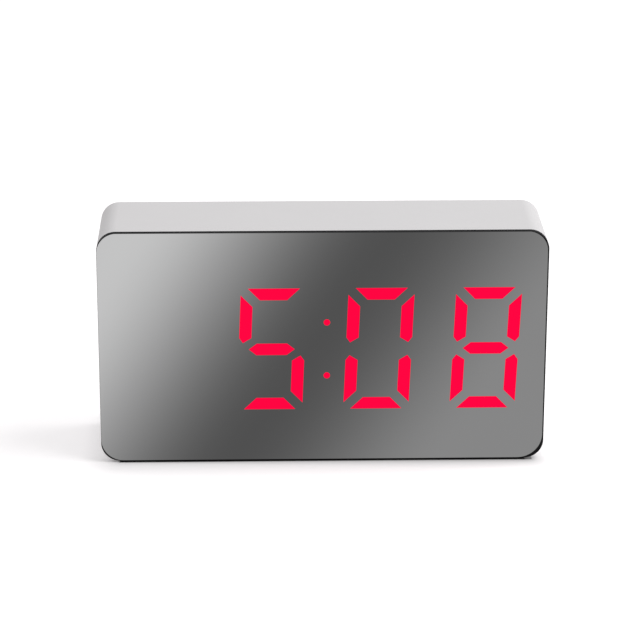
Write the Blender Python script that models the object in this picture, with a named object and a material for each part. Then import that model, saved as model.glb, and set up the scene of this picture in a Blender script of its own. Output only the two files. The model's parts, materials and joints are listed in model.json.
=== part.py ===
"""Small free-standing mirror alarm clock with red seven-segment LED digits.

Units are metres, +Z is up and the mirror faces -Y. The origin is on the table, under the middle
of the overall box. Depths are counted from the mirror's face towards the back.
"""

import math

import bmesh
import bpy
from mathutils import Vector

MM = 0.001

# Overall size
CASE_WIDTH = 115.0 * MM
CASE_HEIGHT = 62.0 * MM
CASE_DEPTH = 28.0 * MM          # mirror face to the back of the case
CORNER_RADIUS = 4.9 * MM
FOOT_PROUD = 0.5 * MM           # rubber feet below the case
BUTTON_PROUD = 0.4 * MM         # buttons behind the case

# Clearances
BOND_GAP = 0.05 * MM            # between layers held by tape
SEAT_GAP = 0.1 * MM             # between a piece and its seat
FIT_GAP = 0.15 * MM             # round a cover or a door, on each side
SLIDE_GAP = 0.2 * MM            # round a button or a plunger, on each side

# Case
WALL = 2.4 * MM
REAR_EDGE_RADIUS = 1.2 * MM
FRONT_FLANGE = 1.5 * MM
COLUMN_INSET = 6.6 * MM         # case screws, from the outside of each corner
COLUMN_HALF = 3.1 * MM
COLUMN_BITE = 0.9 * MM          # how far a column runs into the wall

# Front layers
LENS_THICKNESS = 1.0 * MM
TAPE_THICKNESS = 0.15 * MM
TAPE_OUTER_INSET = 0.4 * MM
TAPE_WIDTH = 3.1 * MM
FILM_THICKNESS = 0.2 * MM
WINDOW_SIDE_MARGIN = 3.3 * MM    # window beyond the outer digits
WINDOW_END_MARGIN = 2.6 * MM    # window above and below the digits
WINDOW_CENTRE = 30.4 * MM       # above the case's underside
REFLECTOR_DEPTH = 5.5 * MM
REFLECTOR_LIP = 1.3 * MM        # flange behind the window's edge
BOARD_THICKNESS = 1.6 * MM
BOARD_SIDE_GAP = 1.6 * MM       # display board to the case's side wall
BOARD_NARROWING = 7.0 * MM      # display board's notches round the columns

# Seven-segment digits
DIGIT_COUNT = 4
DIGIT_PITCH = 27.5 * MM
DIGIT_WIDTH = 16.9 * MM
DIGIT_HEIGHT = 33.0 * MM
STROKE = 3.15 * MM
MITRE_INSET = 1.8 * MM          # from a digit's corner to the nearest segment end
SHOULDER_HEIGHT = 3.1 * MM      # upright segments' straight edges stop here, above the middle
TIP_HEIGHT = 1.75 * MM
TIP_INSET = 1.0 * MM
BAR_TIP_INSET = 2.55 * MM       # middle bar's points, from the digit's side
BAR_TIP_LENGTH = 2.0 * MM
SLANT = math.radians(2.15)
DISPLAY_SHIFT = 0.8 * MM        # digits' middle, right of the case's middle
COLON_RISE = 7.25 * MM
COLON_DIAMETER = 1.7 * MM
LED_LENGTH = 1.6 * MM
LED_WIDTH = 0.8 * MM
LED_HEIGHT = 0.7 * MM
LED_ROOT = 0.3 * MM             # part of each LED's foot that is sunk in its solder

# Back
COVER_THICKNESS = 2.4 * MM
KEY_ROW_BELOW_TOP = 10.3 * MM
KEY_COUNT = 4
KEY_PITCH = 16.0 * MM
CAP_WIDTH = 9.0 * MM
CAP_HEIGHT = 5.0 * MM
CAP_RADIUS = 2.4 * MM
CAP_EDGE = 0.5 * MM
CAP_FLANGE = 0.8 * MM           # flange width behind the cover, and its thickness
CAP_STEM_DIAMETER = 3.0 * MM
CAP_STEM_LENGTH = 0.3 * MM
KEY_TRAVEL = 0.5 * MM
KEY_STRIP_SIDE_MARGIN = 3.0 * MM
KEY_STRIP_END_MARGIN = 2.25 * MM    # above and below the caps
KEY_STRIP_CORNER = 4.6 * MM
KEY_STRIP_DEPTH = 0.8 * MM
SWITCH_SIZE = 6.0 * MM
SWITCH_BODY = 3.4 * MM
SWITCH_CORNER = 0.5 * MM
PLUNGER_DIAMETER = 3.4 * MM
PLUNGER_RISE = 0.8 * MM
PLUNGER_SUNK = 0.8 * MM
KEY_BOARD_THICKNESS = 1.2 * MM
KEY_BOARD_HEIGHT = 10.4 * MM
KEY_POST_DIAMETER = 4.8 * MM
KEY_POST_GAPS = (8.6 * MM, 9.5 * MM)    # from the end keys to the posts, left and right
KEY_BOARD_MARGINS = (2.0 * MM, 4.5 * MM)    # board beyond the power socket and the right post
USB_PITCH = 17.0 * MM           # from the last button to the power socket
USB_WIDTH = 7.5 * MM
USB_HEIGHT = 2.7 * MM
USB_SHEET = 0.3 * MM
USB_SINK = 0.6 * MM             # socket's mouth below the back face
USB_HOLE_MARGIN = 0.5 * MM
USB_FLOOR = 1.2 * MM
USB_TONGUE_WIDTH = 3.75 * MM
USB_TONGUE_THICKNESS = 0.65 * MM
USB_TONGUE_RISE = 0.3 * MM      # tongue's middle above the socket's
USB_TONGUE_SINK = 1.0 * MM      # tongue's tip behind the mouth

# Battery bay
CELL_COUNT = 3
CELL_DIAMETER = 10.5 * MM
CELL_LENGTH = 44.5 * MM
CELL_NUB_DIAMETER = 3.8 * MM
CELL_NUB_LENGTH = 1.0 * MM
CELL_GAP = 0.4 * MM
CELL_EDGE = 0.4 * MM            # rounding of the jacket at both ends
CELL_LIP = 0.2 * MM             # height of the jacket's lip round the positive end
CELL_SHOULDER = 1.5 * MM        # width of the insulating ring inside the jacket
CONTACT_ROOM = 0.9 * MM         # bay wall to a cell's positive end
SPRING_ROOM = 5.1 * MM          # bay wall to a cell's negative end
BAY_WALL = 1.5 * MM
BAY_FLOOR = 1.2 * MM
BAY_BOTTOM = 6.5 * MM           # bay's lowest inner face above the case's underside
DOOR_THICKNESS = 2.0 * MM
DOOR_LAP = 1.05 * MM            # door beyond the bay's inside, on each side
HINGE_PIN_DIAMETER = 1.2 * MM
HINGE_PIN_LENGTH = 1.5 * MM
DOOR_TAB_WIDTH = 9.0 * MM
DOOR_TAB_HEIGHT = 1.8 * MM
DOOR_TAB_THICKNESS = 1.0 * MM
DOOR_TAB_CORNER = 1.6 * MM
SCOOP_WIDTH = 14.0 * MM
SCOOP_HEIGHT = 4.6 * MM
SCOOP_CORNER = 4.4 * MM
SCOOP_DEPTH = 1.7 * MM
GRIP_COUNT = 5
GRIP_PITCH = 1.6 * MM
GRIP_WIDTH = 18.0 * MM
GRIP_DEPTH = 0.4 * MM
CONTACT_SHEET = 0.4 * MM
CONTACT_INSET = 0.75 * MM       # contact's edges inside the cell's outline
CONTACT_TAB_WIDTH = 3.0 * MM
CONTACT_TAB_REACH = 1.6 * MM    # solder tab in front of the bay's floor
CONTACT_TAB_THINNING = 0.04 * MM    # tab's faces inside its plate's faces
SPRING_WIRE = 0.6 * MM
SPRING_BASE_RADIUS = 3.7 * MM
SPRING_TIP_RADIUS = 2.2 * MM
SPRING_TURNS = 2.75
SPRING_STEPS = 30

# Sounder
SOUNDER_SIDE_INSET = 15.5 * MM  # centre, from the case's side
SOUNDER_CENTRE = 24.0 * MM      # above the case's underside
SOUNDER_DIAMETER = 20.0 * MM
SOUNDER_SHEET = 0.25 * MM
CERAMIC_DIAMETER = 14.0 * MM
SOUNDER_RING_WALL = 1.0 * MM
SOUNDER_LEDGE = 1.0 * MM
SOUNDER_STANDOFF = 0.8 * MM
SOUNDER_RING_HEIGHT = 2.2 * MM
SOUND_HOLE_DIAMETER = 1.5 * MM
SOUND_HOLE_PITCH = 3.0 * MM
SOUND_HOLE_RINGS = 2

# Screws: head diameter, head height, shaft diameter, shaft length
CASE_SCREW = (4.2 * MM, 1.1 * MM, 1.9 * MM, 9.5 * MM)
BOARD_SCREW = (3.8 * MM, 1.1 * MM, 1.6 * MM, 4.8 * MM)
KEY_SCREW = (3.4 * MM, 1.0 * MM, 1.4 * MM, 4.8 * MM)
SCREW_SINK = 0.3 * MM           # case screws' heads below the back face
SCREW_HOLE_MARGIN = 0.25 * MM   # round a shaft, where the thread doesn't bite
THREAD_GAP = 0.1 * MM           # round a shaft in its boss
CROSS_MARGIN = 0.8 * MM         # from the head's rim to the ends of its cross recess
CROSS_WIDTH = 0.5 * MM
CROSS_DEPTH = 0.6 * MM
BOSS_DIAMETER = 5.2 * MM
BOSS_SPREAD = 38.0 * MM         # display board's bosses, from the middle
BOSS_INSET = 7.2 * MM           # and from the case's top and underside

# Electronics on the display board
CHIP_X = -6.0 * MM
CHIP_LENGTH = 17.9 * MM
CHIP_WIDTH = 7.5 * MM
CHIP_HEIGHT = 2.3 * MM
CHIP_LEG_COUNT = 14
CHIP_LEG_PITCH = 1.27 * MM
CHIP_LEG_WIDTH = 0.4 * MM
CHIP_LEG_SPAN = 10.3 * MM
CRYSTAL_X = -22.0 * MM
CRYSTAL_BELOW_KEYS = 5.0 * MM
CRYSTAL_DIAMETER = 3.0 * MM
CRYSTAL_LENGTH = 8.2 * MM
CRYSTAL_EDGE = 0.3 * MM
CAPACITOR_DIAMETER = 8.0 * MM
CAPACITOR_HEIGHT = 11.5 * MM
CAPACITOR_EDGE = 0.4 * MM
CAPACITOR_GROOVE = 2.0 * MM     # crimped groove's height above the can's foot
CAPACITOR_SIDE_INSET = 15.5 * MM    # centre, from the case's side
RIBBON_WIDTH = 12.0 * MM
RIBBON_THICKNESS = 0.5 * MM
RIBBON_BOW = 2.4 * MM
RIBBON_DROP = 1.0 * MM          # ribbon's upper face below the middle of the key board
RIBBON_STEPS = 8
WIRE_DIAMETER = 1.1 * MM
WIRE_STUB = 1.5 * MM            # straight run at each end of a lead
LEAD_PAD_OFFSET = 5.0 * MM      # battery leads' pads on the display board, beside the bay
KEY_PAD_INSET = 3.0 * MM        # sounder leads' pads, from the key board's end
WIRE_GAP = 0.3 * MM             # wire and ribbon ends to what they are soldered to

# Feet
FOOT_DIAMETER = 8.0 * MM
FOOT_THICKNESS = 1.0 * MM
FOOT_SIDE_INSET = 13.5 * MM
FOOT_END_INSET = 6.0 * MM       # from the case's front and back faces

# Roundness of the mesh
CORNER_STEPS = 6
ROUND_STEPS = 5
SMALL_STEPS = 2
EDGE_STEPS = 4
OVERSHOOT = 1.0 * MM            # how far a cutter runs past the face that it opens
ROOT = 0.5 * MM                 # how far a moulded feature runs into its plate

# Derived depths
FRONT_Y = -(CASE_DEPTH + BUTTON_PROUD) / 2
TAPE_FRONT = LENS_THICKNESS + BOND_GAP
CASE_FRONT = TAPE_FRONT + TAPE_THICKNESS + BOND_GAP
FLANGE_BACK = CASE_FRONT + FRONT_FLANGE
FILM_FRONT = LENS_THICKNESS + SEAT_GAP
REFLECTOR_FRONT = FILM_FRONT + FILM_THICKNESS + SEAT_GAP
REFLECTOR_BACK = REFLECTOR_FRONT + REFLECTOR_DEPTH
BOARD_FRONT = REFLECTOR_BACK + SEAT_GAP
BOARD_BACK = BOARD_FRONT + BOARD_THICKNESS
COVER_FRONT = CASE_DEPTH - COVER_THICKNESS
DOOR_FRONT = CASE_DEPTH - DOOR_THICKNESS
CELL_AXIS = DOOR_FRONT - FIT_GAP - CELL_DIAMETER / 2
BAY_FLOOR_BACK = CELL_AXIS - CELL_DIAMETER / 2 - FIT_GAP
BAY_FLOOR_FRONT = BAY_FLOOR_BACK - BAY_FLOOR
CAP_FLANGE_BACK = COVER_FRONT - SLIDE_GAP
CAP_FLANGE_FRONT = CAP_FLANGE_BACK - CAP_FLANGE
PLUNGER_BACK = CAP_FLANGE_FRONT - CAP_STEM_LENGTH - SEAT_GAP
SWITCH_BACK = PLUNGER_BACK - PLUNGER_RISE
SWITCH_FRONT = SWITCH_BACK - SWITCH_BODY
KEY_BOARD_BACK = SWITCH_FRONT - SEAT_GAP
KEY_BOARD_FRONT = KEY_BOARD_BACK - KEY_BOARD_THICKNESS

# Derived heights and widths
WINDOW_WIDTH = (DIGIT_COUNT - 1) * DIGIT_PITCH + DIGIT_WIDTH + 2 * WINDOW_SIDE_MARGIN
WINDOW_HEIGHT = DIGIT_HEIGHT + 2 * WINDOW_END_MARGIN
CASE_BOTTOM = FOOT_PROUD
CASE_TOP = CASE_BOTTOM + CASE_HEIGHT
CASE_MIDDLE = CASE_BOTTOM + CASE_HEIGHT / 2
DISPLAY_MIDDLE = CASE_BOTTOM + WINDOW_CENTRE
KEY_ROW = CASE_TOP - KEY_ROW_BELOW_TOP
BAY_WIDTH = CELL_LENGTH + CONTACT_ROOM + SPRING_ROOM
CELL_PITCH = CELL_DIAMETER + CELL_GAP
BAY_HEIGHT = CELL_COUNT * CELL_PITCH + CELL_GAP
BAY_MIDDLE = CASE_BOTTOM + BAY_BOTTOM + BAY_HEIGHT / 2
DOOR_WIDTH = BAY_WIDTH + 2 * DOOR_LAP
DOOR_HEIGHT = BAY_HEIGHT + 2 * DOOR_LAP
HINGE_HEIGHT = BAY_MIDDLE - DOOR_HEIGHT / 2 + DOOR_THICKNESS / 2
HINGE_DEPTH = CASE_DEPTH - DOOR_THICKNESS / 2
SCREW_X = CASE_WIDTH / 2 - COLUMN_INSET
SCREW_RISE = CASE_HEIGHT / 2 - COLUMN_INSET
SOUNDER_X = CASE_WIDTH / 2 - SOUNDER_SIDE_INSET
SOUNDER_Z = CASE_BOTTOM + SOUNDER_CENTRE
USB_X = -(KEY_COUNT - 1) / 2 * KEY_PITCH - USB_PITCH
END_KEY_X = (KEY_COUNT - 1) / 2 * KEY_PITCH
KEY_POST_XS = (-END_KEY_X - KEY_POST_GAPS[0], END_KEY_X + KEY_POST_GAPS[1])
KEY_BOARD_LEFT = USB_X - USB_WIDTH / 2 - KEY_BOARD_MARGINS[0]
KEY_BOARD_RIGHT = KEY_POST_XS[1] + KEY_BOARD_MARGINS[1]
CAPACITOR_X = CAPACITOR_SIDE_INSET - CASE_WIDTH / 2
BOSS_RISE = CASE_HEIGHT / 2 - BOSS_INSET

MATERIALS = {
    "case_white": ((0.66, 0.65, 0.655), 0.45, 0.0),
    "mirror": ((0.55, 0.55, 0.55), 0.03, 1.0),
    "tape_black": ((0.02, 0.02, 0.02), 0.8, 0.0),
    "film_red": ((0.25, 0.02, 0.03), 0.5, 0.0),
    "reflector_black": ((0.03, 0.03, 0.03), 0.6, 0.0),
    "board_green": ((0.03, 0.18, 0.07), 0.45, 0.0),
    "chip_black": ((0.02, 0.02, 0.02), 0.5, 0.0),
    "steel": ((0.6, 0.6, 0.62), 0.3, 1.0),
    "nickel": ((0.72, 0.7, 0.66), 0.25, 1.0),
    "brass": ((0.78, 0.6, 0.25), 0.3, 1.0),
    "ceramic_white": ((0.85, 0.83, 0.78), 0.5, 0.0),
    "sleeve_blue": ((0.03, 0.07, 0.25), 0.35, 0.0),
    "cell_jacket": ((0.05, 0.22, 0.1), 0.35, 0.0),
    "button_grey": ((0.55, 0.55, 0.56), 0.5, 0.0),
    "rubber": ((0.06, 0.06, 0.06), 0.85, 0.0),
    "wire_red": ((0.5, 0.02, 0.02), 0.5, 0.0),
    "wire_black": ((0.02, 0.02, 0.02), 0.5, 0.0),
    "ribbon_grey": ((0.5, 0.5, 0.52), 0.5, 0.0),
}


def clear_scene():
    for item in list(bpy.data.objects):
        bpy.data.objects.remove(item, do_unlink=True)


def material(name):
    """A Principled BSDF with the colour, roughness and metallic value of MATERIALS."""
    found = bpy.data.materials.get(name)
    if found:
        return found
    colour, roughness, metallic = MATERIALS[name]
    made = bpy.data.materials.new(name)
    made.use_nodes = True
    shader = made.node_tree.nodes["Principled BSDF"]
    shader.inputs["Base Color"].default_value = (*colour, 1.0)
    shader.inputs["Roughness"].default_value = roughness
    shader.inputs["Metallic"].default_value = metallic
    made.diffuse_color = (*colour, 1.0)
    return made


def circle(diameter, steps=ROUND_STEPS):
    """Outline of a circle, with as many points as rounded_rectangle gives."""
    count = 4 * (steps + 1)
    points = []
    for index in range(count):
        angle = 2 * math.pi * (index + 0.5) / count
        points.append((diameter / 2 * math.cos(angle), diameter / 2 * math.sin(angle)))
    return points


def rounded_rectangle(width, height, radius, steps=ROUND_STEPS):
    """Outline of a rectangle with round corners, from the upper right corner leftwards."""
    points = []
    for quarter, (side, rise) in enumerate(((1, 1), (-1, 1), (-1, -1), (1, -1))):
        centre = (side * (width / 2 - radius), rise * (height / 2 - radius))
        for step in range(steps + 1):
            angle = math.pi / 2 * (quarter + step / steps)
            points.append((centre[0] + radius * math.cos(angle), centre[1] + radius * math.sin(angle)))
    return points


def soft_end(width, height, radius, edge, end, steps=ROUND_STEPS):
    """Layers that end a round-cornered block at a depth with a quarter-round edge."""
    layers = []
    for step in range(EDGE_STEPS + 1):
        angle = math.pi / 2 * step / EDGE_STEPS
        inset = edge * (1 - math.cos(angle))
        outline = rounded_rectangle(width - 2 * inset, height - 2 * inset, radius - inset, steps)
        layers.append((end - edge * (1 - math.sin(angle)), outline))
    return layers


def rectangle(width, height):
    return [(width / 2, height / 2), (-width / 2, height / 2),
            (-width / 2, -height / 2), (width / 2, -height / 2)]


def add_loft(mesh, layers, offset=(0.0, 0.0)):
    """Close a skin over outlines of equal length: layers are (depth, outline) along +Y."""
    rings = []
    for depth, outline in layers:
        rings.append([mesh.verts.new((x + offset[0], depth, z + offset[1])) for x, z in outline])
    mesh.faces.new(rings[0])
    mesh.faces.new(list(reversed(rings[-1])))
    count = len(rings[0])
    for near, far in zip(rings, rings[1:]):
        for index in range(count):
            after = (index + 1) % count
            mesh.faces.new((near[index], far[index], far[after], near[after]))


def new_object(name, colour, mesh, location, rotation=(0.0, 0.0, 0.0)):
    bmesh.ops.recalc_face_normals(mesh, faces=mesh.faces)
    data = bpy.data.meshes.new(name)
    mesh.to_mesh(data)
    mesh.free()
    if colour:
        data.materials.append(material(colour))
    data.shade_smooth()
    data.set_sharp_from_angle(angle=math.radians(35))
    made = bpy.data.objects.new(name, data)
    made.location = location
    made.rotation_euler = rotation
    bpy.context.scene.collection.objects.link(made)
    return made


def at(x, depth, z):
    """World place of a point given by its depth behind the mirror's face."""
    return (x, FRONT_Y + depth, z)


def lofted(name, colour, location, layers, rotation=(0.0, 0.0, 0.0)):
    mesh = bmesh.new()
    add_loft(mesh, layers)
    return new_object(name, colour, mesh, location, rotation)


def plate(name, colour, location, outline, thickness, rotation=(0.0, 0.0, 0.0)):
    return lofted(name, colour, location, [(0.0, outline), (thickness, outline)], rotation)


def many_plates(name, colour, location, outline, thickness, places):
    """One mesh of equal plates at (x, z) places, for a tool that cuts or adds them all."""
    mesh = bmesh.new()
    for place in places:
        add_loft(mesh, [(0.0, outline), (thickness, outline)], place)
    return new_object(name, colour, mesh, location)


def apply_tool(target, tool, operation):
    """Add a Boolean modifier to target, and hide the tool from renders."""
    tool.hide_render = True
    tool.display_type = "WIRE"
    modifier = target.modifiers.new(tool.name, "BOOLEAN")
    modifier.operation = operation
    modifier.solver = "EXACT"
    modifier.object = tool


def add(target, tool):
    apply_tool(target, tool, "UNION")


def cut(target, tool):
    apply_tool(target, tool, "DIFFERENCE")


def corners(x, z):
    return [(side * x, rise * z) for side in (-1, 1) for rise in (-1, 1)]


def bay_cell_rows():
    """Height of each cell's axis and the way its positive end points, from the bottom up."""
    rows = []
    for index in range(CELL_COUNT):
        height = BAY_MIDDLE + (index - (CELL_COUNT - 1) / 2) * CELL_PITCH
        rows.append((height, -1 if index % 2 == 0 else 1))
    return rows


def key_places():
    return [((index - (KEY_COUNT - 1) / 2) * KEY_PITCH, 0.0) for index in range(KEY_COUNT)]


def segment_outlines():
    """The seven segments of a digit about its middle, leaning to the right by SLANT."""
    side = DIGIT_WIDTH / 2
    top = DIGIT_HEIGHT / 2
    bar = [(MITRE_INSET - side, top), (side - MITRE_INSET, top),
           (side - MITRE_INSET - STROKE, top - STROKE), (MITRE_INSET + STROKE - side, top - STROKE)]
    upright = [(-side, top - MITRE_INSET), (STROKE - side, top - MITRE_INSET - STROKE),
               (STROKE - side, SHOULDER_HEIGHT), (TIP_INSET - side, TIP_HEIGHT), (-side, SHOULDER_HEIGHT)]
    tip = side - BAR_TIP_INSET
    middle = [(-tip, 0.0), (BAR_TIP_LENGTH - tip, STROKE / 2), (tip - BAR_TIP_LENGTH, STROKE / 2),
              (tip, 0.0), (tip - BAR_TIP_LENGTH, -STROKE / 2), (BAR_TIP_LENGTH - tip, -STROKE / 2)]
    straight = [bar, [(x, -z) for x, z in bar], middle]
    for mirror_x in (1, -1):
        for mirror_z in (1, -1):
            straight.append([(mirror_x * x, mirror_z * z) for x, z in upright])
    return [[(x + z * math.tan(SLANT), z) for x, z in outline] for outline in straight]


def digit_centres():
    return [DISPLAY_SHIFT + (index - (DIGIT_COUNT - 1) / 2) * DIGIT_PITCH for index in range(DIGIT_COUNT)]


def colon_places():
    return [(DISPLAY_SHIFT, COLON_RISE), (DISPLAY_SHIFT, -COLON_RISE)]


def screw(name, size, location, forward=1):
    """A pan-head screw whose head rests at its location; its shaft points to the front, or back."""
    head_diameter, head_height, shaft_diameter, shaft_length = size
    head = circle(head_diameter, SMALL_STEPS)
    rim = circle(head_diameter - head_height / 2, SMALL_STEPS)
    shaft = circle(shaft_diameter, SMALL_STEPS)
    point = circle(shaft_diameter / 2, SMALL_STEPS)
    layers = [(-shaft_length, point), (-shaft_length + shaft_diameter / 2, shaft), (0.0, shaft),
              (0.0, head), (head_height / 2, head), (head_height, rim)]
    turn = (0.0, 0.0, 0.0 if forward > 0 else math.pi)
    made = lofted(name, "steel", location, layers, turn)
    mesh = bmesh.new()
    length = head_diameter - 2 * CROSS_MARGIN
    half = CROSS_WIDTH / 2
    cross = [(length / 2, half), (half, half), (half, length / 2), (-half, length / 2),
             (-half, half), (-length / 2, half), (-length / 2, -half), (-half, -half),
             (-half, -length / 2), (half, -length / 2), (half, -half), (length / 2, -half)]
    add_loft(mesh, [(head_height - CROSS_DEPTH, cross), (head_height + OVERSHOOT, cross)])
    cut(made, new_object(name + "_cross_tool", None, mesh, location, turn))
    return made


def make_case():
    """One-piece sleeve with a front flange, four columns and a soft rear edge."""
    length = CASE_DEPTH - CASE_FRONT
    layers = [(0.0, rounded_rectangle(CASE_WIDTH, CASE_HEIGHT, CORNER_RADIUS, CORNER_STEPS))]
    layers += soft_end(CASE_WIDTH, CASE_HEIGHT, CORNER_RADIUS, REAR_EDGE_RADIUS, length, CORNER_STEPS)
    case = lofted("case_shell", "case_white", at(0, CASE_FRONT, CASE_MIDDLE), layers)
    bore = rounded_rectangle(CASE_WIDTH - 2 * WALL, CASE_HEIGHT - 2 * WALL, CORNER_RADIUS - WALL,
                             CORNER_STEPS)
    cut(case, plate("case_bore_tool", None, at(0, FLANGE_BACK, CASE_MIDDLE), bore,
                    CASE_DEPTH - FLANGE_BACK + OVERSHOOT))
    cut(case, plate("case_window_tool", None, at(0, CASE_FRONT - OVERSHOOT, DISPLAY_MIDDLE),
                    rectangle(WINDOW_WIDTH, WINDOW_HEIGHT), FRONT_FLANGE + 2 * OVERSHOOT))
    column = COLUMN_HALF + COLUMN_INSET - WALL + COLUMN_BITE
    offset = (COLUMN_HALF - (COLUMN_INSET - WALL + COLUMN_BITE)) / 2
    add(case, many_plates("case_columns_tool", "case_white", at(0, FLANGE_BACK - SEAT_GAP, CASE_MIDDLE),
                          rectangle(column, column), COVER_FRONT - FLANGE_BACK,
                          corners(SCREW_X - offset, SCREW_RISE - offset)))
    add(case, many_plates("board_bosses_tool", "case_white", at(0, FLANGE_BACK - SEAT_GAP, CASE_MIDDLE),
                          circle(BOSS_DIAMETER), BOARD_FRONT - FLANGE_BACK, corners(BOSS_SPREAD, BOSS_RISE)))
    shaft = CASE_SCREW[3]
    cut(case, many_plates("column_holes_tool", None, at(0, COVER_FRONT - shaft, CASE_MIDDLE),
                          circle(CASE_SCREW[2] + 2 * THREAD_GAP, SMALL_STEPS), shaft + OVERSHOOT,
                          corners(SCREW_X, SCREW_RISE)))
    cut(case, many_plates("boss_holes_tool", None, at(0, BOARD_BACK - BOARD_SCREW[3] - SEAT_GAP, CASE_MIDDLE),
                          circle(BOARD_SCREW[2] + 2 * THREAD_GAP, SMALL_STEPS),
                          BOARD_SCREW[3] + SEAT_GAP, corners(BOSS_SPREAD, BOSS_RISE)))
    for index, (x, depth) in enumerate(foot_places()):
        tool = plate("foot_seat_tool_%d" % (index + 1), None,
                     at(x, depth, CASE_BOTTOM - OVERSHOOT), circle(FOOT_DIAMETER + 2 * FIT_GAP),
                     OVERSHOOT + FOOT_THICKNESS - FOOT_PROUD + SEAT_GAP, (math.pi / 2, 0.0, 0.0))
        cut(case, tool)


def foot_places():
    x = CASE_WIDTH / 2 - FOOT_SIDE_INSET
    return [(side * x, depth) for side in (-1, 1)
            for depth in (FOOT_END_INSET, CASE_DEPTH - FOOT_END_INSET)]


def make_feet():
    for index, (x, depth) in enumerate(foot_places()):
        plate("rubber_foot_%d" % (index + 1), "rubber", at(x, depth, 0.0), circle(FOOT_DIAMETER),
              FOOT_THICKNESS, (math.pi / 2, 0.0, 0.0))


def make_front():
    """Mirror panel, its tape ring, the diffuser film, and the reflector with its segment wells."""
    face = rounded_rectangle(CASE_WIDTH, CASE_HEIGHT, CORNER_RADIUS, CORNER_STEPS)
    plate("mirror_lens", "mirror", at(0, 0, CASE_MIDDLE), face, LENS_THICKNESS)

    outer = rounded_rectangle(CASE_WIDTH - 2 * TAPE_OUTER_INSET, CASE_HEIGHT - 2 * TAPE_OUTER_INSET,
                              CORNER_RADIUS - TAPE_OUTER_INSET)
    inset = TAPE_OUTER_INSET + TAPE_WIDTH
    inner = rounded_rectangle(CASE_WIDTH - 2 * inset, CASE_HEIGHT - 2 * inset, CORNER_RADIUS - inset)
    tape = plate("lens_tape", "tape_black", at(0, TAPE_FRONT, CASE_MIDDLE), outer, TAPE_THICKNESS)
    cut(tape, plate("tape_hole_tool", None, at(0, TAPE_FRONT - OVERSHOOT, CASE_MIDDLE), inner,
                    TAPE_THICKNESS + 2 * OVERSHOOT))

    front = rectangle(WINDOW_WIDTH - 4 * FIT_GAP, WINDOW_HEIGHT - 4 * FIT_GAP)
    back = rectangle(WINDOW_WIDTH + 2 * REFLECTOR_LIP, WINDOW_HEIGHT + 2 * REFLECTOR_LIP)
    plate("diffuser_film", "film_red", at(0, FILM_FRONT, DISPLAY_MIDDLE), front, FILM_THICKNESS)
    step = FLANGE_BACK + SEAT_GAP - REFLECTOR_FRONT
    layers = [(0.0, front), (step, front), (step, back), (REFLECTOR_DEPTH, back)]
    reflector = lofted("display_reflector", "reflector_black", at(0, REFLECTOR_FRONT, DISPLAY_MIDDLE), layers)
    wells = bmesh.new()
    length = REFLECTOR_DEPTH + OVERSHOOT
    for centre in digit_centres():
        for outline in segment_outlines():
            add_loft(wells, [(-OVERSHOOT, outline), (length, outline)], (centre, 0.0))
    for place in colon_places():
        add_loft(wells, [(-OVERSHOOT, circle(COLON_DIAMETER, SMALL_STEPS)),
                         (length, circle(COLON_DIAMETER, SMALL_STEPS))], place)
    cut(reflector, new_object("segment_wells_tool", None, wells, at(0, REFLECTOR_FRONT, DISPLAY_MIDDLE)))


def led_places():
    """An LED in the middle of each segment and under each colon dot, with its turn flag."""
    places = []
    for centre in digit_centres():
        for outline in segment_outlines():
            xs = [x for x, _ in outline]
            zs = [z for _, z in outline]
            lying = max(xs) - min(xs) > max(zs) - min(zs)
            middle = ((max(xs) + min(xs)) / 2 + centre, (max(zs) + min(zs)) / 2)
            places.append((middle, lying))
    return places


def make_display_board():
    """Board with notched corners; its LEDs stand in the reflector's wells."""
    wide = CASE_WIDTH / 2 - WALL - BOARD_SIDE_GAP
    narrow = wide - BOARD_NARROWING
    tall = CASE_HEIGHT / 2 - WALL - BOARD_SIDE_GAP
    notch = tall - BOARD_NARROWING
    quarter = [(wide, notch), (narrow, notch), (narrow, tall)]
    outline = quarter + [(-x, z) for x, z in reversed(quarter)]
    outline += [(-x, -z) for x, z in quarter] + [(x, -z) for x, z in reversed(quarter)]
    board = plate("display_board", "board_green", at(0, BOARD_FRONT, CASE_MIDDLE), outline, BOARD_THICKNESS)
    leds = bmesh.new()
    for place, lying in led_places():
        shape = rectangle(LED_LENGTH, LED_WIDTH) if lying else rectangle(LED_WIDTH, LED_LENGTH)
        add_loft(leds, [(0.0, shape), (LED_HEIGHT + LED_ROOT, shape)], place)
    for place in colon_places():
        shape = rectangle(LED_WIDTH, LED_WIDTH)
        add_loft(leds, [(0.0, shape), (LED_HEIGHT + LED_ROOT, shape)], place)
    add(board, new_object("leds_tool", "ceramic_white", leds,
                          at(0, BOARD_FRONT - LED_HEIGHT, DISPLAY_MIDDLE)))
    cut(board, many_plates("board_holes_tool", None, at(0, BOARD_FRONT - OVERSHOOT, CASE_MIDDLE),
                           circle(BOARD_SCREW[2] + 2 * SCREW_HOLE_MARGIN, SMALL_STEPS),
                           BOARD_THICKNESS + 2 * OVERSHOOT, corners(BOSS_SPREAD, BOSS_RISE)))
    for index, (x, rise) in enumerate(corners(BOSS_SPREAD, BOSS_RISE)):
        screw("board_screw_%d" % (index + 1), BOARD_SCREW, at(x, BOARD_BACK + SEAT_GAP, CASE_MIDDLE + rise))


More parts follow.
